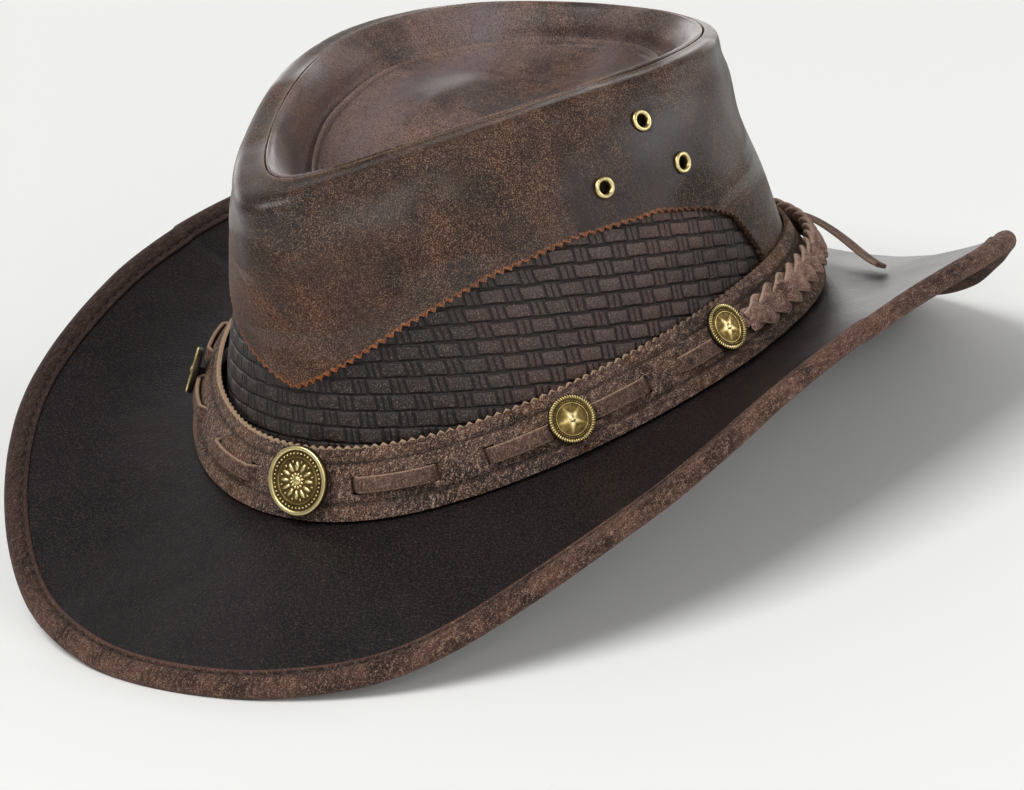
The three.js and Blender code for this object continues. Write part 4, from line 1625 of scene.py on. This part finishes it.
@dataclass
class Hatband:
    """The suede band with a pinked upper edge, two seams and slots for the lace."""

    tooth: float = 3.0
    tooth_depth: float = 1.15
    rows: int = 30
    tall: float = 21.0
    upper_seam: float = 16.3
    lower_seam: float = 4.6
    rear_step: float = 95
    stretches: tuple[tuple[float, float], ...] = ((-95, -77), (-68.5, -58.5), (-50, -38), (-26, -11.5), (14, 29),
                                                  (39.5, 50.5), (58.5, 69), (77, 95))
    lace_end: float = 84.5
    lace_place: float = 0.47
    slot_half: tuple[float, float] = (1.7, 2.7)
    visible_leather: float = 1.3

    def lift(self, angle: Array, place: Array) -> Array:
        """Height of the band's seams, folded foot, rear step and inward lean above its smooth form.

        Args:
            angle: angles round the hat in radians.
            place: places up the band.

        Returns:
            Heights in millimetres.
        """
        height = np.asarray(place) * self.tall
        seams = 0.5 * bell(height, self.upper_seam, 0.55) + 0.75 * bell(height, self.lower_seam, 0.6)
        fold = 0.55 * (1 - ramp(height, self.lower_seam - 1.2, self.lower_seam + 0.4))
        side = np.abs(np.degrees(angle))
        step = 0.9 * ramp(side, self.rear_step - 0.25, self.rear_step + 0.25) * (1 - ramp(height, 12, 18))
        lean = (3.0 - 0.6 * ramp(side, 70, 92) - 0.6 * ramp(side, 98, 120)) * ramp(height, 9, self.tall)
        wave = ripple(FORM.band_point(angle, np.asarray(place, float)), 26, 0.2, 21)
        return wave + fold - seams - step - lean

    def build(self) -> bpy.types.Object:
        """Builds the band.

        Returns:
            The band.
        """
        to_angle, length = even_angles(lambda angle: FORM.band_point(angle, np.ones_like(angle)))
        teeth = round(length / self.tooth)

        def shape(u: Array, v: Array) -> tuple[Array, Array]:
            """Lays the band's vertices.

            Args:
                u: shares round the band.
                v: shares up it.

            Returns:
                Points in millimetres, and flat coordinates in metres.
            """
            angle = to_angle(u)
            root = (1 - zigzag(u * teeth, 1)) * self.tooth_depth / self.tall
            place = v - root * ramp(v, 1 - 1.6 / self.rows, 1)
            points = FORM.band.lifted(angle, place, self.lift(angle, place))
            return points, np.stack([(u - 0.5) * length, place * self.tall], -1) * MM

        def marks(u: Array, v: Array) -> dict[str, Array]:
            """Marks the distance from the pinked edge, which turns browner round the sides, and the seams.

            Args:
                u: shares round the band.
                v: shares up it.

            Returns:
                The marks by name.
            """
            side = ramp(np.abs(np.degrees(to_angle(u))), 40, 95)
            height = v * self.tall
            seam = np.maximum(bell(height, self.upper_seam, 0.5), bell(height, self.lower_seam, 0.55))
            return {"margin": (1 - v) * self.tall + side * 0.7, "seam": seam}

        piece = place_grid("hatband_suede", 4 * teeth, self.rows, shape, marks)
        for stretch in self.stretches:
            for degrees in stretch:
                if abs(degrees) < self.lace_end:
                    punch(piece, stand_on(FORM.band, degrees, self.lace_place, 0), self.slot_half, False)
        give_wall(piece, self.visible_leather, round_off=0.2)
        settle(piece)
        return dress(piece, [Finish.BAND, Finish.PALE], "band_leather", "hatband")

    def build_stitches(self) -> list[bpy.types.Object]:
        """Sews the band's two seams.

        Returns:
            The stitches of each seam.
        """
        seams = (("band_upper_stitches", self.upper_seam, 3.6), ("band_lower_stitches", self.lower_seam, 3.9))
        stitch_share, stitch_height, thickness = 0.74, 0.12, 0.55
        pieces = []
        for name, height, pitch in seams:

            def line(share: Array, place: float = height / self.tall) -> tuple[Array, Array]:
                """A seam at one height.

                Args:
                    share: shares round the band.
                    place: place up the band.

                Returns:
                    Points in millimetres and normals.
                """
                angle = (2 * share - 1) * math.pi
                at = np.full_like(angle, place)
                return FORM.band.lifted(angle, at, self.lift(angle, at) + stitch_height), FORM.band.normal(angle, at)

            pieces.append(sew(name, line, pitch, pitch * stitch_share, thickness, "band_leather"))
        return pieces


@dataclass
class Lace:
    """The lace woven through the band's front, the braid round its back and the lace's free end."""

    band: Hatband
    width: float = 4.9
    thickness: float = 1.4
    clearance: float = 0.2
    braid_start: float = 93
    braid_place: float = 0.5
    braid_period: float = 24.6
    braid_clearance: float = 0.25
    swing: float = 3.2
    weave_height: float = 1.05
    strand_width: float = 5.6
    strand_thickness: float = 2.0
    tail: tuple[tuple[float, float, float], ...] = (
        (27, 106.6, 44.4), (36, 105, 44.6), (46, 100.7, 44.2), (58, 93.5, 43.8), (70, 85.3, 43.4), (79, 78.7, 43.8),
        (85, 74.7, 44.3))
    tail_up: tuple[float, float, float] = (0.25, 0.35, 0.9)
    tail_width: float = 4
    tail_thickness: float = 1.5

    def build_lace(self) -> bpy.types.Object:
        """Builds the lace, outside the band on its stretches and behind it between them.

        Returns:
            The lace.
        """
        end = self.band.lace_end
        outside = self.clearance + self.thickness / 2
        inside = -FORM.band_leather - self.clearance - self.thickness / 2

        def line(share: Array) -> tuple[Array, Array]:
            """Centre and normal of the lace.

            Args:
                share: shares of its way round the band.

            Returns:
                Points in millimetres and normals.
            """
            degrees = (2 * share - 1) * end
            out = np.zeros_like(degrees)
            for start, stop in self.band.stretches:
                on = ramp(degrees, start - 1.0, start + 1.0) * (1 - ramp(degrees, stop - 1.0, stop + 1.0))
                arch = np.sin(math.pi * np.clip((degrees - start) / (stop - start), 0, 1))
                out = np.maximum(out, on * (1 + 0.12 * arch))
            angle = np.radians(degrees)
            at = np.full_like(angle, self.band.lace_place) + 0.012 * np.sin(angle * 7)
            normal = FORM.band.normal(angle, at)
            return FORM.band.point(angle, at) + normal * (inside + (outside - inside) * out)[:, None], normal

        piece = lay_strip("lace_woven", 720, 20, line, self.width, self.thickness, corner=0.45)
        return dress(piece, [Finish.LACE], "lace_suede", "lace")

    def build_braid(self) -> bpy.types.Object:
        """Builds the plait of three strands.

        Returns:
            The plait.
        """
        start = math.radians(self.braid_start)
        middle = np.linspace(start, 2 * math.pi - start, 600)
        turns = length_of(FORM.band_point(middle, np.full_like(middle, self.braid_place))) / self.braid_period
        strands = []
        for index in range(3):

            def line(share: Array, phase: float = 2 * math.pi * index / 3) -> tuple[Array, Array]:
                """Centre and normal of one strand.

                Args:
                    share: shares of its way round the back.
                    phase: where its swing starts in radians.

                Returns:
                    Points in millimetres and normals.
                """
                angle = start + (2 * math.pi - 2 * start) * share
                turn = 2 * math.pi * turns * share + phase
                ease = 0.35 + 0.65 * ramp(np.minimum(share, 1 - share), 0, 0.035)
                centre = np.full_like(angle, self.braid_place)
                at = centre + self.swing * ease * np.sin(turn) / self.band.tall
                normal = FORM.band.normal(angle, centre)
                height = self.braid_clearance + self.strand_thickness / 2 + self.weave_height * (1 + np.sin(2 * turn))
                return FORM.band.point(angle, at) + normal * height[:, None], normal

            strands.append(lay_strip(f"braid_strand_{index + 1}", 560, 14, line, self.strand_width,
                                     self.strand_thickness, corner=0.8))
        body = bmesh.new()
        for strand in strands:
            body.from_mesh(strand.data)
            bpy.data.objects.remove(strand)
        piece = piece_of("braid_plait", body, sharp=60)
        return dress(piece, [Finish.BRAID], "lace_suede", "braid")

    def build_tail(self) -> bpy.types.Object:
        """Builds the free end of the lace along its route.

        Returns:
            The free end.
        """
        route = np.array(self.tail, float)
        last = len(route) - 1

        def centre(share: Array) -> Array:
            """Points of the route."""
            return FORM.smooth_line([np.repeat(point[None], len(share), 0) for point in route], share * last)

        def line(share: Array) -> tuple[Array, Array]:
            """Centre and normal of the free end."""
            return centre(share), np.repeat(np.array([self.tail_up]), len(share), 0)

        piece = lay_strip("lace_free_end", 60, 16, line, self.tail_width, self.tail_thickness, corner=0.5)
        dress(piece, [Finish.LACE], "lace_suede", "lace_tail")
        path = metres(centre(np.linspace(0, 1, 24)))
        return piece


class Figure(Enum):
    """What is cast on a stud."""

    ROSETTE = "rosette"
    STAR = "star"


@dataclass
class Stud:
    """A cast disc on a short post, with a rim, a ring of beads and a raised figure."""

    node: str
    angle: float
    place: float
    radius: float
    figure: Figure
    standoff: float = 2.2
    lean: float = -4
    field: float = 0.95
    post_radius: float = 1.6

    def build(self) -> bpy.types.Object:
        """Builds and places the stud.

        Returns:
            The stud.
        """
        body = bmesh.new()
        field, r = self.field, self.radius
        rim = 1.15 if self.figure is Figure.STAR else 1.5
        add_round(body, [
            (0, -0.3), (r - 1, -0.3), (r - 0.3, -0.55), (r, -0.25), (r, rim - 0.4), (r - 0.2, rim - 0.1),
            (r - 0.6, rim), (r - 1.1, rim - 0.05), (r - 1.35, rim - 0.2), (r - 1.6, field), (r * 0.7, field + 0.02),
            (r * 0.68, field + 0.26), (r * 0.65, field + 0.26), (r * 0.63, field + 0.04), (r * 0.3, field + 0.14),
            (0, field + 0.18)], steps=72)
        post = self.standoff + FORM.band_leather
        add_round(body, [(0, 0.1), (self.post_radius, 0.1), (self.post_radius, -post + 0.3),
                         (self.post_radius - 0.3, -post + 0.1), (0, -post + 0.1)], steps=20)
        if self.figure is Figure.ROSETTE:
            self.cast_rosette(body)
        else:
            self.cast_star(body)
        high = body.verts.layers.float.new("relief")
        for vertex in body.verts:
            reach = math.hypot(vertex.co.x, vertex.co.y)
            vertex[high] = min(max(0.3 + (vertex.co.z - field) / 0.7, 0), 1.1) if reach < r * 1.1 else 0
        stand = stand_on(FORM.band, self.angle, self.place, self.standoff)
        body.transform(stand @ Matrix.Rotation(math.radians(self.lean), 4, "X"))
        return dress(piece_of(f"{self.node}_cast", body, sharp=45), [Finish.BRASS], "old_brass", self.node)

    def ring(self, body: bmesh.types.BMesh, count: int, reach: float, size: tuple[float, float, float], height: float,
             lean: float = 0, offset: float = 0) -> None:
        """Sets small bodies in a ring.

        Args:
            body: the bmesh that gets them.
            count: how many.
            reach: radius of the ring.
            size: half sizes outwards, around and up.
            height: height of their centres.
            lean: turn of each about its own axis in degrees.
            offset: turn of the whole ring in degrees.
        """
        for index in range(count):
            turn = 2 * math.pi * index / count + math.radians(offset)
            place = (Matrix.Rotation(turn, 4, "Z") @ Matrix.Translation((reach, 0, height))
                     @ Matrix.Rotation(math.radians(lean), 4, "Z") @ Matrix.Diagonal((*size, 1)))
            add_bead(body, place)

    def cast_rosette(self, body: bmesh.types.BMesh) -> None:
        """Raises a rosette of petals and rays inside a ring of beads.

        Args:
            body: the bmesh that gets it.
        """
        field, r = self.field, self.radius
        self.ring(body, 40, r * 0.78, (0.42, 0.42, 0.42), field + 0.08)
        self.ring(body, 12, r * 0.41, (r * 0.17, r * 0.068, 0.62), field + 0.08)
        self.ring(body, 12, r * 0.55, (r * 0.06, r * 0.03, 0.4), field + 0.1, offset=15)
        self.ring(body, 12, r * 0.19, (r * 0.06, r * 0.045, 0.4), field + 0.2, offset=15)
        add_bead(body, Matrix.Translation((0, 0, field + 0.1)) @ Matrix.Diagonal((r * 0.15, r * 0.15, 0.75, 1)), 20, 10)
        self.ring(body, 8, r * 0.115, (0.22, 0.22, 0.25), field + 0.55)

    def cast_star(self, body: bmesh.types.BMesh) -> None:
        """Raises a five-pointed star inside a ring of short dashes and a roped rim.

        Args:
            body: the bmesh that gets it.
        """
        field, r = self.field, self.radius
        self.ring(body, 56, r - 0.62, (0.74, 0.22, 0.46), 1.14, lean=14)
        self.ring(body, 22, r * 0.755, (0.42, 0.13, 0.26), field + 0.05)
        self.ring(body, 22, r * 0.755, (0.16, 0.3, 0.26), field + 0.05, offset=8)
        star = bmesh.new()
        bmesh.ops.create_circle(star, cap_ends=True, cap_tris=True, segments=10, radius=r * 0.68)
        star.verts.ensure_lookup_table()
        middle = [vertex for vertex in star.verts if vertex.co.length < 1e-6]
        for index, vertex in enumerate(vertex for vertex in star.verts if vertex.co.length > 1e-6):
            vertex.co *= 1.0 if index % 2 == 0 else 0.5
        bmesh.ops.translate(star, verts=middle, vec=(0, 0, 0.75))
        rim = [edge for edge in star.edges if edge.is_boundary]
        wall = bmesh.ops.extrude_edge_only(star, edges=rim)
        low = [item for item in wall["geom"] if isinstance(item, bmesh.types.BMVert)]
        bmesh.ops.translate(star, verts=low, vec=(0, 0, -0.3))
        bmesh.ops.translate(star, verts=star.verts, vec=(0, 0, field + 0.12))
        bmesh.ops.rotate(star, verts=star.verts, cent=(0, 0, 0), matrix=Matrix.Rotation(math.pi / 2, 3, "Z"))
        bmesh.ops.recalc_face_normals(star, faces=star.faces)
        mesh = bpy.data.meshes.new("star")
        star.to_mesh(mesh)
        star.free()
        body.from_mesh(mesh)
        bpy.data.meshes.remove(mesh)
        add_bead(body, Matrix.Translation((0, 0, field + 0.55)) @ Matrix.Diagonal((r * 0.15, r * 0.15, 0.45, 1)), 16, 8)
        self.ring(body, 5, r * 0.5, (0.36, 0.36, 0.3), field + 0.05, offset=-36)


@dataclass
class Eyelets:
    """Three rolled brass eyelets on each side of the crown."""

    spots: tuple[tuple[str, float, float], ...]
    hole: float = 2.7
    bore: float = 1.8
    barrel: float = 2.35
    radius: float = 3.4

    def stands(self) -> list[Matrix]:
        """Finds the eyelets' centres on the leather.

        Returns:
            A matrix for each eyelet.
        """
        result = []
        for _, degrees, level in self.spots:
            place = float(FORM.place_of(level))
            lift = float(crown_lift(np.array([math.radians(degrees)]), np.array([place]))[0])
            result.append(stand_on(FORM.wall, degrees, place, lift))
        return result

    def build(self) -> list[bpy.types.Object]:
        """Builds the eyelets.

        Returns:
            The eyelets in the order of their spots.
        """
        pieces = []
        deep = -FORM.crown_leather - 0.35
        profile = [(self.bore, deep), (self.bore, 0.1), (self.bore + 0.12, 0.55), (self.bore + 0.45, 0.92),
                   (2.75, 1.02), (3.15, 0.8), (self.radius, 0.4), (self.radius - 0.05, 0.12),
                   (self.radius - 0.3, 0.06), (self.barrel + 0.1, 0.06), (self.barrel, -0.2), (self.barrel, deep),
                   (self.bore, deep)]
        for (node, _, _), stand in zip(self.spots, self.stands()):
            body = bmesh.new()
            add_round(body, profile, steps=40)
            high = body.verts.layers.float.new("relief")
            for vertex in body.verts:
                vertex[high] = min(max(vertex.co.z + 0.15, 0), 0.95)
            body.transform(stand)
            pieces.append(dress(piece_of(f"{node}_rolled", body, sharp=60), [Finish.BRASS], "old_brass", node))
        return pieces


@dataclass
class Studio:
    """The floor, the soft lights and the camera. Places are in metres, and the lens is in millimetres."""

    camera_at: tuple[float, float, float] = (1.10284, -1.32840, 0.69253)
    camera_aim: tuple[float, float, float] = (0.00571, -0.00195, 0.02664)
    camera_roll: float = -8.373
    lens: float = 213.31
    sensor: float = 36
    clip: tuple[float, float] = (0.05, 50)
    lamp_aim: tuple[float, float, float] = (0, 0, 0.06)
    floor_size: float = 8.0
    sky: Colour = (0.93, 0.94, 0.95)
    sky_strength: float = 0.2

    def set_camera(self) -> None:
        """Sets the camera at the photograph's angle."""
        data = bpy.data.cameras.new("studio_camera")
        data.sensor_width = self.sensor
        data.lens = self.lens
        data.clip_start, data.clip_end = self.clip
        camera = bpy.data.objects.new("studio_camera", data)
        back = (Vector(self.camera_at) - Vector(self.camera_aim)).normalized()
        level = Vector((0, 0, 1)).cross(back).normalized()
        turn = Matrix.Rotation(math.radians(self.camera_roll), 3, back)
        right = turn @ level
        frame_of = Matrix((right, back.cross(right), back)).transposed()
        camera.matrix_world = Matrix.Translation(self.camera_at) @ frame_of.to_4x4()
        bpy.context.scene.collection.objects.link(camera)
        bpy.context.scene.camera = camera

    def lay_floor(self) -> None:
        """Lays the plain pale floor."""
        body = bmesh.new()
        bmesh.ops.create_grid(body, x_segments=8, y_segments=8, size=self.floor_size / 2)
        floor = piece_of("studio_floor", body)
        graph = Graph("floor_paper")
        tone = graph.blend(graph.noise(400, 2, 0.5) * 0.02, (0.9, 0.9, 0.88), (0.86, 0.86, 0.85))
        floor.data.materials.append(graph.finish(Base_Color=tone, Roughness=0.9))

    def add_light(self, name: str, azimuth: float, height: float, distance: float, size: tuple[float, float],
                  power: float, colour: Colour = (1, 1, 1)) -> None:
        """Hangs a soft light that faces the hat.

        Args:
            name: name of the light.
            azimuth: degrees round the hat, 0 in front and positive towards +X.
            height: elevation in degrees.
            distance: metres from the hat.
            size: width and height in metres.
            power: watts.
            colour: its colour.
        """
        data = bpy.data.lights.new(name, "AREA")
        data.shape = "RECTANGLE"
        data.size, data.size_y = size
        data.energy = power
        data.color = colour
        light = bpy.data.objects.new(name, data)
        turn, rise = math.radians(azimuth), math.radians(height)
        way = Vector((math.sin(turn) * math.cos(rise), -math.cos(turn) * math.cos(rise), math.sin(rise)))
        place = way * distance + Vector(self.lamp_aim)
        light.matrix_world = Matrix.Translation(place) @ way.to_track_quat("Z", "Y").to_matrix().to_4x4()
        bpy.context.scene.collection.objects.link(light)

    def light(self) -> None:
        """Sets the sky and the lamps."""
        world = bpy.data.worlds.new("studio_sky")
        world.use_nodes = True
        sky = world.node_tree.nodes["Background"]
        sky.inputs["Color"].default_value = (*self.sky, 1)
        sky.inputs["Strength"].default_value = self.sky_strength
        bpy.context.scene.world = world
        self.add_light("key_light", -4, 58, 2.6, (1.7, 1.3), 53)
        self.add_light("fill_light", 64, 24, 2.4, (2.0, 1.2), 15)
        self.add_light("side_light", 130, 16, 1.5, (0.9, 0.6), 5)
        self.add_light("backdrop_light", -138, 8, 1.8, (3.2, 0.8), 24, (1.0, 0.985, 0.97))
        bpy.context.scene.view_settings.view_transform = "Standard"

    def build(self) -> None:
        """Sets camera, floor and lights."""
        self.set_camera()
        self.lay_floor()
        self.light()


def main() -> None:
    """Builds the hat on its frame."""
    logging.basicConfig(level=logging.INFO, format="%(message)s")
    Studio().build()
    band = Hatband()
    lace = Lace(band)
    lace.build_tail()
    eyelets = Eyelets((
        ("eyelet_left_1", 82, 0.655), ("eyelet_left_2", 100.5, 0.62), ("eyelet_left_3", 96, 0.81),
        ("eyelet_right_1", -82, 0.655), ("eyelet_right_2", -100.5, 0.62), ("eyelet_right_3", -96, 0.81)))
    crown = Crown()
    crown.build_wall(eyelets)
    crown.build_top()
    WeavePanel().build()
    brim = Brim()
    brim.build_sheet()
    brim.build_binding()
    brim.build_stitches()
    band.build()
    band.build_stitches()
    lace.build_lace()
    lace.build_braid()
    eyelets.build()
    Stud("stud_front", 2.5, 0.55, 10.35, Figure.ROSETTE).build()
    for node, angle, place in (("stud_right_front", -52, 0.52), ("stud_left_front", 54, 0.52),
                               ("stud_right_rear", -87.5, 0.6), ("stud_left_rear", 87.5, 0.6)):
        Stud(node, angle, place, 7.15, Figure.STAR).build()
    log.info("sizes written")


if __name__ == "__main__":
    main()
